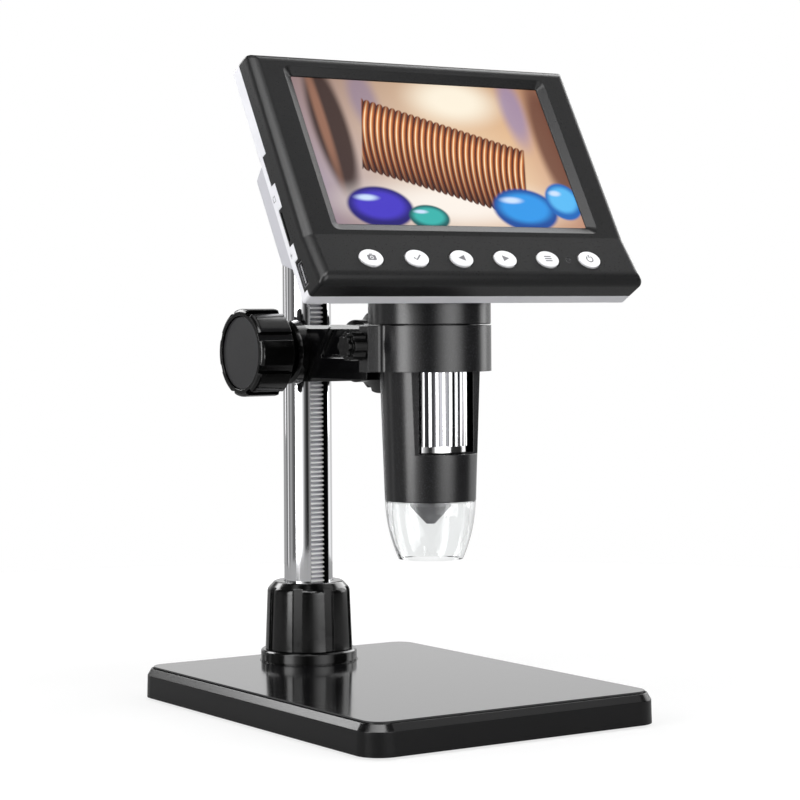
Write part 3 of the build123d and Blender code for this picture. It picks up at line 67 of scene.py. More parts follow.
def linear(colour):
    """A hex sRGB colour as linear RGBA."""
    parts = [int(colour[i:i + 2], 16) / 255 for i in (1, 3, 5)]
    return [p / 12.92 if p <= 0.04045 else ((p + 0.055) / 1.055) ** 2.4 for p in parts] + [1.0]


def add(tree, kind, *values, out=0, stops=None, **settings):
    """Adds a shader node and returns one of its outputs.

    Values fill the inputs in order, and None leaves one as it is. Settings name either a property
    of the node or, with underscores for spaces, an input. A hex string is a colour.
    """
    node = tree.nodes.new("ShaderNode" + kind)
    wanted = list(enumerate(values))
    for name, value in settings.items():
        if hasattr(node, name) and name not in node.inputs:
            setattr(node, name, value)
        else:
            wanted.append((name.replace("_", " "), value))
    for place, value in wanted:
        if isinstance(value, bpy.types.NodeSocket):
            tree.links.new(value, node.inputs[place])
        elif isinstance(value, str):
            node.inputs[place].default_value = linear(value)
        elif value is not None:
            node.inputs[place].default_value = value
    if stops:
        ramp = node.color_ramp
        while len(ramp.elements) > len(stops):
            ramp.elements.remove(ramp.elements[-1])
        while len(ramp.elements) < len(stops):
            ramp.elements.new(1.0)
        for element, (position, colour) in zip(ramp.elements, stops):
            element.position = position
            element.color = linear(colour) if isinstance(colour, str) else [colour] * 3 + [1]
    return node.outputs[out]


def over(tree, below, colour, mask):
    """Lays a colour over another one where the mask is 1."""
    return add(
        tree, "Mix", data_type="RGBA", Factor=mask, A=below, B=colour, out="Result"
    )


def empty_tree(owner):
    """The node tree of a material, lamp or world, with nothing in it."""
    owner.use_nodes = True
    for node in list(owner.node_tree.nodes):
        owner.node_tree.nodes.remove(node)
    return owner.node_tree


def new_material(name):
    """A material with nothing in it yet, and its node tree."""
    material = bpy.data.materials.new(name)
    return material, empty_tree(material)


def finish_material(material, surface):
    """Links a shader to the material's output."""
    material.node_tree.links.new(
        surface, material.node_tree.nodes.new("ShaderNodeOutputMaterial").inputs["Surface"]
    )
    return material


def per_mm(millimetres):
    """Texture scale that repeats once in this many millimetres, for coordinates in metres."""
    return 1 / (millimetres * MM)


def from_head_axis(tree, place):
    """How far a place is from the barrel's axis, in metres."""
    flat = add(tree, "VectorMath", place, (1, 1, 0), operation="MULTIPLY")
    return add(tree, "VectorMath", flat, HEAD_AXIS, operation="DISTANCE", out="Value")


# ================================================================ materials
PAINT_FLAKES = ((0.0, "#0d0d0e"), (0.6, "#121213"), (0.92, "#1b1b1d"), (1.0, "#2c2c30"))
FLAKE_SIZE = 0.16               # drawn several times as coarse as they are, so that they show


def paint_flakes(tree, place):
    """The colour of satin paint's fine flakes, and the random value behind it."""
    flakes = add(tree, "TexVoronoi", place, Scale=per_mm(FLAKE_SIZE), out="Color")
    chance = add(tree, "SeparateColor", flakes, out="Red")
    return add(tree, "ValToRGB", chance, stops=PAINT_FLAKES), chance


SOFT_EDGE = 0.3                 # how far the light on an edge is rounded off


def soft_edges(tree):
    """A normal that catches the light on every edge, as a slightly rounded one does."""
    return add(tree, "Bevel", SOFT_EDGE * MM, samples=4, out="Normal")


def clouded(tree, place, shade, light):
    """The slightly uneven colour of a moulded resin."""
    cloud = add(tree, "TexNoise", place, Scale=per_mm(14), Detail=3.0, out="Fac")
    return add(tree, "ValToRGB", cloud, stops=((0.35, shade), (0.68, light)))


def tool_textured(tree, place, colour, roughness, spread, texture, bump, ior):
    """The surface that a textured mould leaves: a fine even grain, in millimetres, in its shine."""
    grain = add(tree, "TexNoise", place, Scale=per_mm(texture), Detail=2.0, out="Fac")
    rough = add(
        tree, "MapRange", grain, 0.3, 0.7, roughness - spread, roughness + spread, out="Result"
    )
    relief = add(
        tree, "Bump", Strength=bump, Distance=0.02 * MM, Height=grain, Normal=soft_edges(tree),
        out="Normal",
    )
    return add(
        tree, "BsdfPrincipled", Base_Color=colour, Roughness=rough, Normal=relief, IOR=ior,
        out="BSDF",
    )


def moulded_plastic(name, shade, light, roughness, spread, texture, bump, ior=1.46):
    """Injection-moulded plastic: fine even tool texture, slight cloudiness and soft edges."""
    material, tree = new_material(name)
    place = add(tree, "TexCoord", out="Object")
    colour = clouded(tree, place, shade, light)
    return finish_material(
        material, tool_textured(tree, place, colour, roughness, spread, texture, bump, ior)
    )


def satin_paint():
    """Satin black paint on the barrel and its ring: very fine flakes in a near-black coat."""
    material, tree = new_material("satin_paint")
    colour, chance = paint_flakes(tree, add(tree, "TexCoord", out="Object"))
    rough = add(tree, "MapRange", chance, 0.0, 1.0, 0.27, 0.22, out="Result")
    surface = add(
        tree, "BsdfPrincipled", Base_Color=colour, Roughness=rough, Normal=soft_edges(tree),
        out="BSDF",
    )
    return finish_material(material, surface)


def sprayed_abs():
    """Glossy black moulding whose clamp ring and boss are sprayed satin to match the barrel."""
    material, tree = new_material("sprayed_abs")
    place = add(tree, "TexCoord", out="Object")
    fade = 0.2                  # half the width over which the spray ends
    ring = add(
        tree, "MapRange", from_head_axis(tree, place), (CLAMP_RING_RADIUS + fade) * MM,
        (CLAMP_RING_RADIUS - fade) * MM, out="Result",
    )
    boss = add(
        tree, "MapRange", add(tree, "SeparateXYZ", place, out="X"), (SCREW_BOSS_X + fade) * MM,
        (SCREW_BOSS_X - fade) * MM, out="Result",
    )
    sprayed = add(tree, "Math", ring, boss, operation="MAXIMUM")
    flakes, _ = paint_flakes(tree, place)
    colour = over(tree, "#070708", flakes, sprayed)
    rough = add(tree, "MapRange", sprayed, 0.0, 1.0, 0.13, 0.25, out="Result")
    surface = add(
        tree, "BsdfPrincipled", Base_Color=colour, Roughness=rough, Normal=soft_edges(tree),
        out="BSDF",
    )
    return finish_material(material, surface)


def machined_metal(name, colour, roughness, grain, bump):
    """Turned, stamped or cast metal, with a fine even grain in its shine."""
    material, tree = new_material(name)
    place = add(tree, "TexCoord", out="Object")
    marks = add(tree, "TexNoise", place, Scale=per_mm(grain), Detail=3.0, out="Fac")
    rough = add(
        tree, "MapRange", marks, 0.3, 0.7, roughness * 0.7, roughness * 1.3, out="Result"
    )
    relief = add(tree, "Bump", Strength=bump, Distance=0.01 * MM, Height=marks, out="Normal")
    surface = add(
        tree, "BsdfPrincipled", Base_Color=colour, Metallic=1.0, Roughness=rough,
        Normal=relief, out="BSDF",
    )
    return finish_material(material, surface)


def column_chrome():
    """Bright chrome on the column, with its slot's sawn faces painted dark as shade, and rougher."""
    material, tree = new_material("column_chrome")
    place = add(tree, "TexCoord", out="Object")
    side = add(tree, "Math", add(tree, "SeparateXYZ", place, out="X"), operation="ABSOLUTE")
    slot = add(
        tree, "MapRange", side, (SLOT_HALF_WIDTH + 0.04) * MM, (SLOT_HALF_WIDTH + 0.02) * MM,
        out="Result",
    )
    drawn = add(tree, "Mapping", place, Scale=(1, 1, 0.04), out="Vector")
    lines = add(tree, "TexNoise", drawn, Scale=per_mm(0.5), Detail=3.0, out="Fac")
    rough = add(tree, "MapRange", lines, 0.3, 0.7, 0.042, 0.078, out="Result")
    rough = add(tree, "Math", slot, 0.3, rough, operation="MULTIPLY_ADD")
    # painted shade: the slot's sawn faces are coloured near black
    colour = over(tree, "#e6e6e8", "#0c0c0d", slot)
    relief = add(tree, "Bump", Strength=0.02, Distance=0.01 * MM, Height=lines, out="Normal")
    surface = add(
        tree, "BsdfPrincipled", Base_Color=colour, Metallic=1.0, Roughness=rough,
        Normal=relief, out="BSDF",
    )
    return finish_material(material, surface)


def roller_chrome():
    """Bright plating on the focus roller, with painted shade between its fine ribs."""
    material, tree = new_material("roller_chrome")
    place = add(tree, "TexCoord", out="Object")
    raised = add(
        tree, "MapRange", from_head_axis(tree, place), ROLLER_VALLEY_RADIUS * MM,
        ROLLER_RIB_RADIUS * MM, out="Result",
    )
    # painted shade: darker down in the valleys between the ribs, lightest on their crests
    colour = add(
        tree, "ValToRGB", raised, stops=((0.0, "#58585c"), (0.4, "#b4b4b8"), (1.0, "#f0f0f1"))
    )
    wear = add(tree, "TexNoise", place, Scale=per_mm(0.8), Detail=2.0, out="Fac")
    rough = add(tree, "MapRange", wear, 0.3, 0.7, 0.06, 0.1, out="Result")
    surface = add(
        tree, "BsdfPrincipled", Base_Color=colour, Metallic=1.0, Roughness=rough, out="BSDF"
    )
    return finish_material(material, surface)


def plated_rack():
    """Satin zinc plating on the rack's teeth, with painted shade in their roots and on the sides of the
    bar.
    """
    material, tree = new_material("plated_rack")
    place = add(tree, "TexCoord", out="Object")
    side = add(tree, "Math", add(tree, "SeparateXYZ", place, out="X"), operation="ABSOLUTE")
    side = add(
        tree, "MapRange", side, RACK_HALF_WIDTH * MM, (RACK_HALF_WIDTH + 0.03) * MM, out="Result"
    )
    raised = add(
        tree, "MapRange", add(tree, "SeparateXYZ", place, out="Y"),
        (RACK_TIP_Y + RACK_TOOTH_DEPTH) * MM, RACK_TIP_Y * MM, out="Result",
    )
    # painted shade: the plating is coloured darker towards the teeth's roots
    zinc = add(
        tree, "ValToRGB", raised,
        stops=((0.0, "#a0a0a6"), (0.25, "#c4c4c8"), (0.6, "#e8e8ea"), (0.9, "#fafafa")),
    )
    # painted shade: the sides of the bar are coloured near black
    colour = over(tree, zinc, "#0b0b0c", side)
    surface = add(tree, "BsdfPrincipled", Base_Color=colour, Roughness=0.32, out="BSDF")
    return finish_material(material, surface)


def shell_white():
    """White ABS shell with a fine even texture; its raised back is painted greyer as shade."""
    material, tree = new_material("white_abs")
    place = add(tree, "TexCoord", out="Object")
    front = clouded(tree, place, "#dedee3", "#e6e6ea")
    offset = add(tree, "VectorMath", place, tuple(SCREEN_CENTRE), operation="SUBTRACT")
    depth = add(
        tree, "VectorMath", offset, tuple(-SCREEN_OUT), operation="DOT_PRODUCT", out="Value"
    )
    back = add(
        tree, "MapRange", depth, (HUMP_DEPTH - 0.4) * MM, (HUMP_DEPTH + 0.4) * MM, out="Result"
    )
    # painted shade: the raised back is coloured greyer than the front
    colour = over(tree, front, "#bebec4", back)
    return finish_material(
        material, tool_textured(tree, place, colour, 0.35, 0.05, 0.4, 0.2, 1.46)
    )


def coated_sheet():
    """Black coated metal sheet on the base, rolled smooth, so that it mirrors softly at a low angle."""
    material, tree = new_material("coated_sheet")
    place = add(tree, "TexCoord", out="Object")
    peel = add(tree, "TexNoise", place, Scale=per_mm(1.1), Detail=2.0, out="Fac")
    cloud = add(tree, "TexNoise", place, Scale=per_mm(40), Detail=2.0, out="Fac")
    colour = add(tree, "ValToRGB", cloud, stops=((0.3, "#0e0e0f"), (0.7, "#131315")))
    rough = add(tree, "MapRange", peel, 0.3, 0.7, 0.1, 0.14, out="Result")
    relief = add(tree, "Bump", Strength=0.05, Distance=0.01 * MM, Height=peel, out="Normal")
    surface = add(
        tree, "BsdfPrincipled", Base_Color=colour, Roughness=rough, Normal=relief, IOR=2.0,
        out="BSDF",
    )
    return finish_material(material, surface)


def clear_plastic(name, tint, edge, rim, roughness, ior):
    """Polished transparent moulding, clear in the middle and with painted shade where it is seen edge
    on.
    """
    material, tree = new_material(name)
    place = add(tree, "TexCoord", out="Object")
    haze = add(tree, "TexNoise", place, Scale=per_mm(6), Detail=2.0, out="Fac")
    rough = add(tree, "MapRange", haze, 0.4, 0.7, roughness, roughness + 0.03, out="Result")
    turned = add(tree, "LayerWeight", 0.5, out="Facing")
    # painted shade: the colour darkens where the surface is seen edge on
    colour = add(
        tree, "ValToRGB", turned, stops=((0.0, tint), (0.5, tint), (0.85, edge), (1.0, rim))
    )
    surface = add(
        tree, "BsdfPrincipled", Base_Color=colour, Roughness=rough, IOR=ior,
        Transmission_Weight=1.0, out="BSDF",
    )
    return finish_material(material, surface)


def board(name, mask, copper, pitch):
    """Glass-fibre circuit board: solder mask with the tracks showing through as lighter lines."""
    material, tree = new_material(name)
    place = add(tree, "TexCoord", out="Object")
    cells = add(
        tree, "TexVoronoi", place, distance="CHEBYCHEV", feature="F2", Scale=per_mm(pitch),
        out="Distance",
    )
    colour = add(tree, "ValToRGB", cells, stops=((0.45, mask), (0.6, copper)))
    surface = add(tree, "BsdfPrincipled", Base_Color=colour, Roughness=0.35, out="BSDF")
    return finish_material(material, surface)


def rubber(name, colour):
    """Soft moulded rubber: matt and slightly dusty."""
    material, tree = new_material(name)
    place = add(tree, "TexCoord", out="Object")
    dust = add(tree, "TexNoise", place, Scale=per_mm(0.8), Detail=4.0, out="Fac")
    tone = add(tree, "ValToRGB", dust, stops=((0.3, colour), (0.8, "#3a3a3b")))
    relief = add(tree, "Bump", Strength=0.3, Distance=0.05 * MM, Height=dust, out="Normal")
    surface = add(
        tree, "BsdfPrincipled", Base_Color=tone, Roughness=0.8, Normal=relief, out="BSDF"
    )
    return finish_material(material, surface)


# the picture on the screen, in millimetres from its centre
# each blurred thing behind the coil: centre, radii, softness, colour and strength
PICTURE_BLURS = (
    ((-38.5, 9.0), (6.5, 25.0), 0.25, "#30160e", 0.96),
    ((-41.0, 12.0), (1.7, 21.0), 0.6, "#a5745c", 0.75),
    ((-23.0, 20.0), (5.0, 11.0), 0.5, "#7f7196", 0.6),
    ((12.0, 21.0), (15.0, 8.0), 0.6, "#fff6e2", 0.9),
    ((35.0, 18.0), (4.5, 13.0), 0.5, "#8f82b0", 0.7),
    ((46.0, 6.0), (6.0, 24.0), 0.35, "#5c2c1c", 0.85),
    ((0.0, -19.0), (34.0, 7.0), 0.7, "#fff8f0", 0.85),
)
# each bead in front: centre, radii, colour and rim colour
PICTURE_BEADS = (
    ((-29.5, -20.5), (12.0, 7.5), "#4334c4", "#170a70"),
    ((-12.5, -24.0), (7.5, 4.6), "#34b3ac", "#0b5c5e"),
    ((26.0, -20.5), (12.5, 8.0), "#2c98ea", "#0b4a9c"),
    ((42.5, -17.0), (7.0, 7.0), "#5abcf6", "#1566ba"),
)
COIL_CENTRE = (1.0, -2.0)
COIL_TURN = math.radians(-17)
COIL_HALF_LENGTH = 30.0
COIL_RADIUS = 14.0
COIL_PITCH = 2.3


def oval(tree, place, centre, radii, softness):
    """1 inside an oval of the picture and 0 outside it, in millimetres, with a soft edge."""
    offset = add(tree, "VectorMath", place, (*centre, 0), operation="SUBTRACT")
    scaled = add(
        tree, "VectorMath", offset, (1 / radii[0], 1 / radii[1], 0), operation="MULTIPLY"
    )
    reach = add(tree, "VectorMath", scaled, operation="LENGTH", out="Value")
    return add(
        tree, "MapRange", reach, 1 + softness, 1 - softness, interpolation_type="SMOOTHSTEP",
        out="Result",
    )


def wound_coil(tree, place, below):
    """A straight open winding of thick copper wire, leaning across the picture."""
    local = add(tree, "VectorMath", place, (*COIL_CENTRE, 0), operation="SUBTRACT")
    cos, sin = math.cos(COIL_TURN), math.sin(COIL_TURN)
    along = add(tree, "VectorMath", local, (cos, sin, 0), operation="DOT_PRODUCT", out="Value")
    across = add(tree, "VectorMath", local, (-sin, cos, 0), operation="DOT_PRODUCT", out="Value")
    width = add(tree, "Math", across, 1 / COIL_RADIUS, operation="MULTIPLY")
    squared = add(tree, "Math", width, width, operation="MULTIPLY")
    # the turns bow towards the viewer, as rings seen a little from one end do
    bow = add(tree, "Math", squared, -0.9, operation="MULTIPLY")
    lean = add(tree, "Math", width, 0.45, bow, operation="MULTIPLY_ADD")
    turn = add(tree, "Math", along, 1 / COIL_PITCH, lean, operation="MULTIPLY_ADD")
    phase = add(tree, "Math", turn, operation="FRACT")
    wire = add(
        tree, "ValToRGB", phase,
        stops=((0.0, "#2c0f05"), (0.1, "#7c3610"), (0.28, "#dd8842"), (0.38, "#fff2d6"),
               (0.46, "#ffe3b4"), (0.56, "#e39450"), (0.8, "#94441a"), (1.0, "#2c0f05")),
    )
    rounding = add(
        tree, "ValToRGB", add(tree, "MapRange", width, -1.0, 1.0, out="Result"),
        stops=((0.0, "#5a3426"), (0.2, "#b49a8a"), (0.6, "#ffffff"), (0.82, "#fff2e4"),
               (1.0, "#94705c")),
    )
    wire = add(
        tree, "Mix", data_type="RGBA", blend_type="MULTIPLY", Factor=1.0, A=wire, B=rounding,
        out="Result",
    )
    centred = add(tree, "Math", phase, 0.45, operation="SUBTRACT")
    scallop = add(tree, "Math", centred, centred, operation="MULTIPLY")
    edge = add(tree, "Math", scallop, 0.5, squared, operation="MULTIPLY_ADD")
    inside = add(tree, "MapRange", edge, 1.06, 0.98, out="Result")
    reach = add(tree, "Math", along, operation="ABSOLUTE")
    within = add(
        tree, "MapRange", reach, COIL_HALF_LENGTH + 0.3, COIL_HALF_LENGTH - 0.3, out="Result"
    )
    mask = add(tree, "Math", inside, within, operation="MULTIPLY")
    return over(tree, below, wire, mask)


def screen_picture():
    """Lit display: a made-up close view of a copper coil, beads and blurred posts, glowing."""
    material, tree = new_material("screen_picture")
    point = add(
        tree, "VectorMath", add(tree, "TexCoord", out="Object"), tuple(SCREEN_CENTRE),
        operation="SUBTRACT",
    )
    along = add(tree, "VectorMath", point, (1 / MM, 0, 0), operation="DOT_PRODUCT", out="Value")
    above = add(
        tree, "VectorMath", point, tuple(UP_SLOPE / MM), operation="DOT_PRODUCT", out="Value"
    )
    place = add(tree, "CombineXYZ", along, above, 0.0)
    # an out-of-focus bench, mauve on the left and tan on the right, and lit from below the middle
    level = add(tree, "MapRange", along, -48.0, 48.0, out="Result")
    picture = add(
        tree, "ValToRGB", level,
        stops=((0.0, "#a898a4"), (0.22, "#cdb8ac"), (0.5, "#f0d9be"), (0.8, "#ebcaa6"),
               (1.0, "#cfa085")),
    )
    height = add(tree, "MapRange", above, -27.0, 27.0, out="Result")
    floor_tone = add(
        tree, "ValToRGB", height,
        stops=((0.0, "#e6dcdc"), (0.3, "#ffffff"), (0.65, "#f4e8dc"), (1.0, "#d6c2b2")),
    )
    picture = add(
        tree, "Mix", data_type="RGBA", blend_type="MULTIPLY", Factor=0.85, A=picture,
        B=floor_tone, out="Result",
    )
    for centre, radii, softness, colour, strength in PICTURE_BLURS:
        mask = oval(tree, place, centre, radii, softness)
        mask = add(tree, "Math", mask, strength, operation="MULTIPLY")
        picture = over(tree, picture, colour, mask)
    picture = wound_coil(tree, place, picture)
    for centre, radii, colour, rim in PICTURE_BEADS:
        body = oval(tree, place, centre, radii, 0.08)
        picture = over(tree, picture, rim, body)
        inner = oval(
            tree, place, (centre[0], centre[1] + radii[1] * 0.1),
            (radii[0] * 0.8, radii[1] * 0.7), 0.25,
        )
        picture = over(tree, picture, colour, inner)
        glint = oval(
            tree, place, (centre[0] - radii[0] * 0.35, centre[1] + radii[1] * 0.45),
            (radii[0] * 0.3, radii[1] * 0.14), 0.6,
        )
        picture = over(tree, picture, "#cfe4ff", glint)
    surface = add(
        tree, "BsdfPrincipled", Base_Color="#050506", Roughness=0.3, IOR=1.4,
        Emission_Color=picture, Emission_Strength=1.0, out="BSDF",
    )
    return finish_material(material, surface)


materials = {
    # the display's front, of matt-moulded ABS: broad soft highlights on its rounded edges
    "satin_abs": moulded_plastic(
        "satin_abs", "#0c0c0d", "#101011", 0.32, 0.05, 0.35, 0.2, ior=1.4
    ),
    # the base's tray, the same resin from a coarser tool: a low sheen on its sloped edge
    "tray_abs": moulded_plastic(
        "tray_abs", "#070708", "#0a0a0b", 0.2, 0.03, 0.45, 0.08, ior=1.42
    ),
    # piano-black mouldings of the stand: hard, narrow reflections
    "gloss_abs": moulded_plastic("gloss_abs", "#060606", "#090909", 0.15, 0.03, 1.6, 0.03),
    # the knobs' inlaid discs: flat dark grey, without reflections
    "matt_abs": moulded_plastic("matt_abs", "#18181a", "#1e1e20", 0.38, 0.05, 0.4, 0.2),
    "white_abs": shell_white(),
    # the keys: clean white with a small sharp highlight
    "gloss_white_abs": moulded_plastic(
        "gloss_white_abs", "#ececee", "#f6f6f8", 0.18, 0.03, 0.9, 0.05
    ),
    # the lens nozzle: mid-grey, dull
    "grey_abs": moulded_plastic("grey_abs", "#4a4a4c", "#5a5a5d", 0.42, 0.05, 0.3, 0.2),
    # unpolished black mouldings inside, and hard nylon with its waxy off-white
    "inner_abs": moulded_plastic("inner_abs", "#0c0c0d", "#121213", 0.55, 0.05, 0.4, 0.3),
    "nylon": moulded_plastic("nylon", "#d8d6cc", "#e4e2d8", 0.5, 0.05, 0.5, 0.2),
    # epoxy round chips and lamps: dull black, and pale yellow
    "chip_resin": moulded_plastic("chip_resin", "#111112", "#1a1a1b", 0.6, 0.05, 0.2, 0.3),
    "led_resin": moulded_plastic("led_resin", "#e8e2b0", "#f4efc4", 0.3, 0.05, 0.5, 0.1),
    # shrunk vinyl on the cell, and amber polyimide film: smooth, slightly wavy
    "cell_wrap": moulded_plastic("cell_wrap", "#1f5f86", "#2a6c94", 0.3, 0.05, 3.0, 0.1),
    "ribbon_film": moulded_plastic("ribbon_film", "#b5803a", "#c48f48", 0.35, 0.05, 1.0, 0.1),
    # the indicator's dark polycarbonate: nearly a mirror
    "smoked_lens": moulded_plastic("smoked_lens", "#101012", "#18181b", 0.1, 0.02, 1.0, 0.02),
    # screen-printed ink: flat greys
    "icon_ink": moulded_plastic("icon_ink", "#6c6c70", "#78787c", 0.5, 0.05, 0.3, 0.1),
    "mark_ink": moulded_plastic("mark_ink", "#8e8e92", "#9a9a9e", 0.5, 0.05, 0.3, 0.1),
    # foam and rubber: matt, with a little dust
    "gasket_foam": rubber("gasket_foam", "#0b0b0c"),
    "foot_rubber": rubber("foot_rubber", "#161616"),
    "satin_paint": satin_paint(),
    "sprayed_abs": sprayed_abs(),
    "coated_sheet": coated_sheet(),
    "column_chrome": column_chrome(),
    "roller_chrome": roller_chrome(),
    "plated_rack": plated_rack(),
    # metal that isn't seen often: bright turned, dull cast, stamped and tinned, and cut brass
    "turned_steel": machined_metal("turned_steel", "#b9b9bd", 0.28, 0.4, 0.15),
    "cast_steel": machined_metal("cast_steel", "#77777a", 0.5, 1.5, 0.5),
    "tinned_steel": machined_metal("tinned_steel", "#cfcfd2", 0.3, 0.6, 0.1),
    "pinion_brass": machined_metal("pinion_brass", "#c9a25a", 0.3, 0.4, 0.1),
    # the cap's clear acrylic, with painted shade in lines where its wall turns away, and optical glass
    "clear_acrylic": clear_plastic(
        "clear_acrylic", "#f6f7f7", "#c4c5c6", "#77787a", 0.02, 1.49
    ),
    "lens_glass": clear_plastic("lens_glass", "#f4faff", "#e8f2fa", "#b8c8d4", 0.0, 1.6),
    # lacquered glass-fibre boards, green, and white round the lamps
    "green_board": board("green_board", "#0d4a2a", "#1a6a3e", 1.2),
    "white_board": board("white_board", "#d9dcdc", "#c6caca", 1.6),
    "screen_picture": screen_picture(),
}


FINISHES = {
    "satin_abs": ["front_bezel"],
    "tray_abs": ["base_tray", "base_bottom_cover"],
    "coated_sheet": ["base_top_panel"],
    "cast_steel": ["base_weight"],
    "foot_rubber": ["base_feet"],
    "gloss_abs": [
        "column_socket", "column_lock_nut", "column_cap", "hub_bushes", "left_knob",
        "right_knob", "thumb_screw",
    ],
    "sprayed_abs": ["carriage_arm"],
    "matt_abs": ["left_knob_cap", "right_knob_cap"],
    "column_chrome": ["column_tube"],
    "roller_chrome": ["focus_roller"],
    "plated_rack": ["rack"],
    "turned_steel": [
        "base_screws", "column_foot_plug", "column_bolt", "pinion_shaft", "brake_screw",
        "neck_nut", "case_screws",
    ],
    "pinion_brass": ["pinion"],
    "nylon": ["brake_shoe", "thumb_screw_pad"],
    "satin_paint": ["barrel_shell", "neck_collar"],
    "inner_abs": ["roller_retainer", "lens_carrier"],
    "lens_glass": ["objective_lens"],
    "green_board": ["sensor_board", "main_board", "keypad_board"],
    "white_board": ["led_ring_board"],
    "chip_resin": ["image_sensor", "tact_switches"],
    "led_resin": ["leds"],
    "grey_abs": ["lens_nozzle"],
    "clear_acrylic": ["clear_cap"],
    "ribbon_film": ["camera_cable"],
    "gasket_foam": ["lcd_gasket"],
    "screen_picture": ["lcd_panel"],
    "smoked_lens": ["indicator_lens"],
    "tinned_steel": ["card_socket", "usb_socket"],
    "cell_wrap": ["battery_cell"],
    "white_abs": ["rear_cover"],
    "gloss_white_abs": ["button_" + key for key in
                   ("capture", "confirm", "left", "right", "menu", "power")],
}
for finish, names in FINISHES.items():
    for name in names:
        node = nodes[name]
        node.data.materials.clear()
        node.data.materials.append(materials[finish])


# ================================================================ printed icons
def circle(radius, centre=(0, 0), points=28):
    """Points round a circle, in millimetres."""
    turns = [2 * math.pi * step / points for step in range(points)]
    return [(centre[0] + radius * math.cos(t), centre[1] + radius * math.sin(t)) for t in turns]


def rounded_box(width, height, radius, centre=(0, 0)):
    """Points round a rectangle with rounded corners, in millimetres."""
    outline = []
    for corner, (sx, sy) in enumerate(((1, 1), (-1, 1), (-1, -1), (1, -1))):
        for step in range(5):
            turn = math.radians(90 * corner + 22.5 * step)
            outline.append((
                centre[0] + sx * (width / 2 - radius) + radius * math.cos(turn),
                centre[1] + sy * (height / 2 - radius) + radius * math.sin(turn),
            ))
    return outline


def stroke(points, width):
    """Outline of a line with square ends through some points, in millimetres."""
    left, right = [], []
    for here, (x, y) in enumerate(points):
        before = Vector(points[max(here - 1, 0)])
        after = Vector(points[min(here + 1, len(points) - 1)])
        tangent = (after - before).normalized()
        offset = Vector((-tangent.y, tangent.x)) * width / 2
        left.append((x + offset.x, y + offset.y))
        right.append((x - offset.x, y - offset.y))
    return left + right[::-1]


def arc(radius, start, end, points=22):
    """Points along an arc between two angles in degrees, in millimetres."""
    turns = [math.radians(start + (end - start) * step / (points - 1)) for step in range(points)]
    return [(radius * math.cos(t), radius * math.sin(t)) for t in turns]


def inlay(name, loops, origin, x_dir, y_dir, thickness, material):
    """A flat printed shape with its middle on the origin. Loops inside others are holes."""
    curve = bpy.data.curves.new(name, "CURVE")
    curve.dimensions = "2D"
    curve.fill_mode = "BOTH"
    curve.extrude = thickness / 2 * MM
    for loop in loops:
        spline = curve.splines.new("POLY")
        spline.points.add(len(loop) - 1)
        for point, (x, y) in zip(spline.points, loop):
            point.co = (x * MM, y * MM, 0, 1)
        spline.use_cyclic_u = True
    drawn = bpy.data.objects.new(name + "_outline", curve)
    scene.collection.objects.link(drawn)
    bpy.context.view_layer.update()
    mesh = bpy.data.meshes.new_from_object(
        drawn.evaluated_get(bpy.context.evaluated_depsgraph_get())
    )
    bpy.data.objects.remove(drawn)
    mesh.name = name
    normal = x_dir.cross(y_dir)
    placing = Matrix((x_dir, y_dir, normal)).transposed().to_4x4()
    placing.translation = origin
    mesh.transform(placing)
    mesh.materials.clear()
    mesh.materials.append(material)
    piece = bpy.data.objects.new(name, mesh)
    scene.collection.objects.link(piece)
    return piece


ICON_LINE = 0.42
ICONS = {
    "capture": [
        rounded_box(3.0, 2.0, 0.35, (0, -0.15)),
        circle(0.62, (0, -0.15)),
        circle(0.36, (0, -0.15)),
        [(-0.6, 0.95), (0.6, 0.95), (0.6, 1.3), (-0.6, 1.3)],
    ],
    "confirm": [stroke([(-1.3, 0.0), (-0.4, -0.85), (1.35, 1.0)], ICON_LINE * 1.2)],
    "left": [[(-1.35, 0), (1.05, 1.15), (1.05, -1.15)]],
    "right": [[(1.35, 0), (-1.05, -1.15), (-1.05, 1.15)]],
    "menu": [rounded_box(2.6, ICON_LINE, 0.1, (0, level)) for level in (-0.85, 0, 0.85)],
    "power": [
        stroke(arc(1.15, 125, 415), ICON_LINE),
        rounded_box(ICON_LINE, 1.25, 0.1, (0, 1.0)),
    ],
}
INK_THICKNESS = 0.08
for index, (key, loops) in enumerate(ICONS.items()):
    from_middle = index - (len(ICONS) - 1) / 2
    spot = CREASE + RIGHT * from_middle * KEY_PITCH * MM - CHIN_UP * KEY_DROP * MM
    spot += CHIN_OUT * (KEY_PROUD - INK_THICKNESS / 4) * MM
    icon = inlay(
        key + "_icon", loops, spot, RIGHT, CHIN_UP, INK_THICKNESS, materials["icon_ink"]
    )
    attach(icon, "key_" + key)

# marks printed on the white shell beside its sockets, each with its height on the side: a
# memory card, and a charging flash
MARK_DEPTH = 8.6                # behind the picture
MARK_PROUD = 0.006
LEFT_SIDE_MARKS = {
    "card_mark": (-13.4, [
        [(-0.8, -1.0), (0.8, -1.0), (0.8, 1.0), (-0.3, 1.0), (-0.8, 0.5)],
        [(-0.5, -0.7), (0.5, -0.7), (0.5, 0.7), (-0.2, 0.7), (-0.5, 0.4)],
    ]),
    "charge_mark": (-33.4, [
        [(0.3, 1.1), (-0.75, -0.15), (-0.05, -0.15), (-0.3, -1.1), (0.75, 0.2), (0.05, 0.2)],
    ]),
}
for name, (level, loops) in LEFT_SIDE_MARKS.items():
    spot = SCREEN_CENTRE + UP_SLOPE * level * MM - SCREEN_OUT * MARK_DEPTH * MM
    spot -= RIGHT * (UNIT_HALF_WIDTH + MARK_PROUD - INK_THICKNESS / 2) * MM
    mark = inlay(
        name, loops, spot, SCREEN_OUT, UP_SLOPE, INK_THICKNESS, materials["mark_ink"]
    )
    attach(mark, "head")

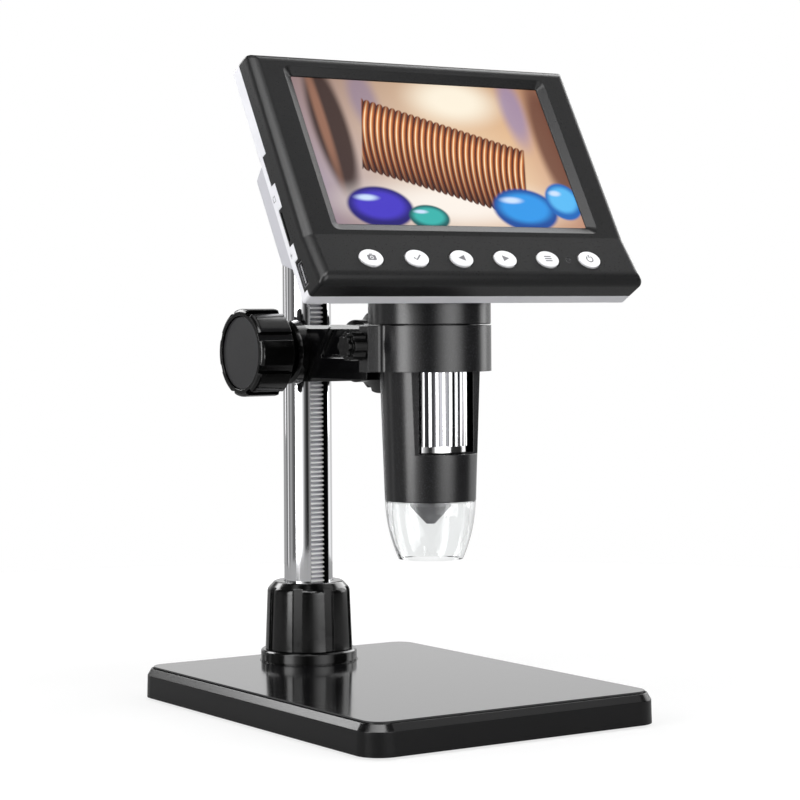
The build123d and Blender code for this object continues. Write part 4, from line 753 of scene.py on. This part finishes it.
# ================================================================ floor, light and camera
TABLE_RADIUS = 470
TABLE_GAP = 0.2                 # the floor is this far below the feet's plane
floor_mesh = bpy.data.meshes.new("floor")
rim = circle(TABLE_RADIUS, points=96)
floor_mesh.from_pydata([(x * MM, y * MM, 0) for x, y in rim], [], [range(len(rim))])
floor = bpy.data.objects.new("floor", floor_mesh)
floor.location.z = -TABLE_GAP * MM
scene.collection.objects.link(floor)


def background_rays(tree, mirrored):
    """1 for rays that see the white background straight or through glass, less when mirrored."""
    path = tree.nodes.new("ShaderNodeLightPath").outputs
    glossy = add(tree, "Math", path["Is Glossy Ray"], mirrored, operation="MULTIPLY")
    seen = add(tree, "Math", path["Is Camera Ray"], glossy, operation="MAXIMUM")
    return add(tree, "Math", seen, path["Is Transmission Ray"], operation="MAXIMUM")


# pale matt paper that lifts to white towards the table's edge
material, tree = new_material("pale_floor")
away = add(
    tree, "VectorMath", add(tree, "TexCoord", out="Object"), operation="LENGTH", out="Value"
)
lift = add(tree, "MapRange", away, 150 * MM, 420 * MM, 0.74, 0.95, out="Result")
lift = add(tree, "Math", lift, background_rays(tree, 0.15), operation="MULTIPLY")
paper = add(tree, "BsdfDiffuse", "#929292", out="BSDF")
glow = add(tree, "Emission", "#ffffff", lift, out="Emission")
floor_mesh.materials.append(
    finish_material(material, add(tree, "AddShader", paper, glow, out="Shader"))
)

CAMERA_PLACE = Vector((-434.95, -666.09, 131.37)) * MM
CAMERA_TURN = math.radians(-33.429)
CAMERA_ROLL = math.radians(-0.344)

# what polished surfaces see of the studio's walls: degrees round from the camera, and brightness
STUDIO_WALLS = (
    (-180, 1.0), (-176, 0.6), (-172, 0.4), (-128, 0.4), (-112, 0.1), (-109, 1.0), (-104, 0.9),
    (-99, 0.1), (-89, 0.42), (-81, 0.37), (-74, 0.13), (-62, 0.14), (-54, 0.4), (-49, 1.0),
    (-33, 1.0), (-23, 0.62), (-14, 0.26), (-8, 0.09), (-3, 0.02), (4, 0.03), (9, 0.3),
    (14, 0.1), (18, 0.02), (30, 0.04), (60, 0.04), (103, 0.02), (109, 0.12), (117, 1.0),
    (132, 1.0), (150, 0.6), (175, 1.0),
)
world = bpy.data.worlds.new("studio")
scene.world = world
tree = empty_tree(world)
ray = add(
    tree, "VectorRotate", add(tree, "TexCoord", out="Generated"), rotation_type="Z_AXIS",
    Angle=math.pi / 2 - CAMERA_TURN,
)
towards, sideways, upwards = (add(tree, "SeparateXYZ", ray, out=axis) for axis in "XYZ")
turn = add(tree, "Math", sideways, towards, operation="ARCTAN2")
turn = add(tree, "MapRange", turn, -math.pi, math.pi, out="Result")
walls = add(
    tree, "ValToRGB", turn,
    stops=[((angle + 180) / 360, brightness) for angle, brightness in STUDIO_WALLS],
)
# the far wall is white above the table's edge
far = add(tree, "MapRange", towards, -0.8, -0.9, out="Result")
raised = add(tree, "MapRange", upwards, 0.02, 0.06, out="Result")
far = add(tree, "Math", far, raised, operation="MULTIPLY")
walls = over(tree, walls, "#ffffff", far)
high = add(tree, "MapRange", upwards, 0.25, 0.4, out="Result")
mirrored = over(tree, walls, "#404040", high)
path = tree.nodes.new("ShaderNodeLightPath").outputs
clear = add(tree, "Math", path["Is Camera Ray"], path["Is Transmission Ray"], operation="MAXIMUM")
glossy = add(tree, "Math", path["Is Glossy Ray"], clear, operation="SUBTRACT")
colour = over(tree, "#ffffff", mirrored, glossy)
# full strength for what is seen and mirrored, and a quarter of it as light
strength = add(tree, "MapRange", background_rays(tree, 1.0), 0.0, 1.0, 0.25, 1.0, out="Result")
sky = add(tree, "Background", colour, strength, out="Background")
tree.links.new(sky, tree.nodes.new("ShaderNodeOutputWorld").inputs["Surface"])


LAMP_AIM = Vector((0, 0, 120)) * MM


def softbox(name, turn, distance, height, size, *brightness, lights=True, mirrored=True):
    """A rectangular studio lamp, placed in degrees round from the camera's side, aimed at the part.

    Distance, height and size are in metres. Several brightnesses run from its left side to its
    right, as seen from the part. One that lights nothing is a card, there for reflections only,
    and one not mirrored is bounced light.
    """
    lamp = bpy.data.lights.new(name, "AREA")
    lamp.shape = "RECTANGLE"
    lamp.size, lamp.size_y = size
    lamp.energy = math.pi * size[0] * size[1]   # so that a brightness of 1 is seen as white
    tree = empty_tree(lamp)
    across = add(tree, "SeparateXYZ", add(tree, "NewGeometry", out="Parametric"), out="X")
    top = max(brightness)
    last = max(len(brightness) - 1, 1)
    shade = add(
        tree, "ValToRGB", across,
        stops=[(index / last, value / top) for index, value in enumerate(brightness)],
    )
    glow = add(tree, "Emission", shade, top, out="Emission")
    tree.links.new(glow, tree.nodes.new("ShaderNodeOutputLight").inputs["Surface"])
    holder = bpy.data.objects.new(name, lamp)
    holder.visible_diffuse = lights
    holder.visible_glossy = mirrored
    angle = CAMERA_TURN - math.pi / 2 + math.radians(turn)
    place = Vector((math.cos(angle) * distance, math.sin(angle) * distance, height))
    holder.location = place
    holder.rotation_mode = "QUATERNION"
    holder.rotation_quaternion = (LAMP_AIM - place).to_track_quat("-Z", "Y")
    scene.collection.objects.link(holder)


softbox("left_box", -38, 1.2, 0.32, (1.02, 1.3), 7.0, 7.0, 6.5, 1.2, 0.4, 0.05)
softbox("right_box", 38.5, 1.3, 0.16, (1.3, 1.0), 0.5, 2.2, 4.0, 4.3, 2.4, 0.5, lights=False)
softbox("right_fill", 60, 1.3, 0.3, (1.0, 1.0), 4.6, mirrored=False)
softbox("front_high", -10, 0.8, 0.93, (1.4, 0.4), 3.0, 6.0, 8.0, 8.5, 8.0, lights=False)
softbox("front_edge", 82, 1.0, 0.84, (0.5, 0.3), 1.0, lights=False)
softbox("left_back", -124, 1.0, 0.6, (0.4, 0.4), 9.0, lights=False)
softbox("right_wall", 146, 1.0, 0.75, (0.5, 1.2), 5.0, lights=False)
softbox("right_rim", 118, 1.2, 0.5, (0.45, 1.0), 2.4, 2.6)
softbox("left_rim", -128, 1.2, 0.5, (0.14, 1.0), 1.2)
softbox("back_light", -147, 1.0, 0.8, (0.5, 0.45), 3.6)
softbox("front_top", 35, 0.72, 1.08, (0.6, 0.2), 4.0)
softbox("top_right", 105, 0.7, 1.15, (0.7, 0.35), 0.8)
softbox("top_light", -60, 0.15, 1.2, (0.7, 0.7), 1.2)

camera = bpy.data.cameras.new("camera")
camera.lens = 108.6
camera.sensor_width = 36
camera.shift_y = -0.1103
camera.clip_start, camera.clip_end = 0.05, 20
holder = bpy.data.objects.new("camera", camera)
holder.matrix_world = (
    Matrix.Translation(CAMERA_PLACE)
    @ Matrix.Rotation(CAMERA_TURN, 4, "Z")
    @ Matrix.Rotation(math.pi / 2, 4, "X")
    @ Matrix.Rotation(CAMERA_ROLL, 4, "Z")
)
scene.collection.objects.link(holder)
scene.camera = holder
scene.view_settings.view_transform = "Standard"
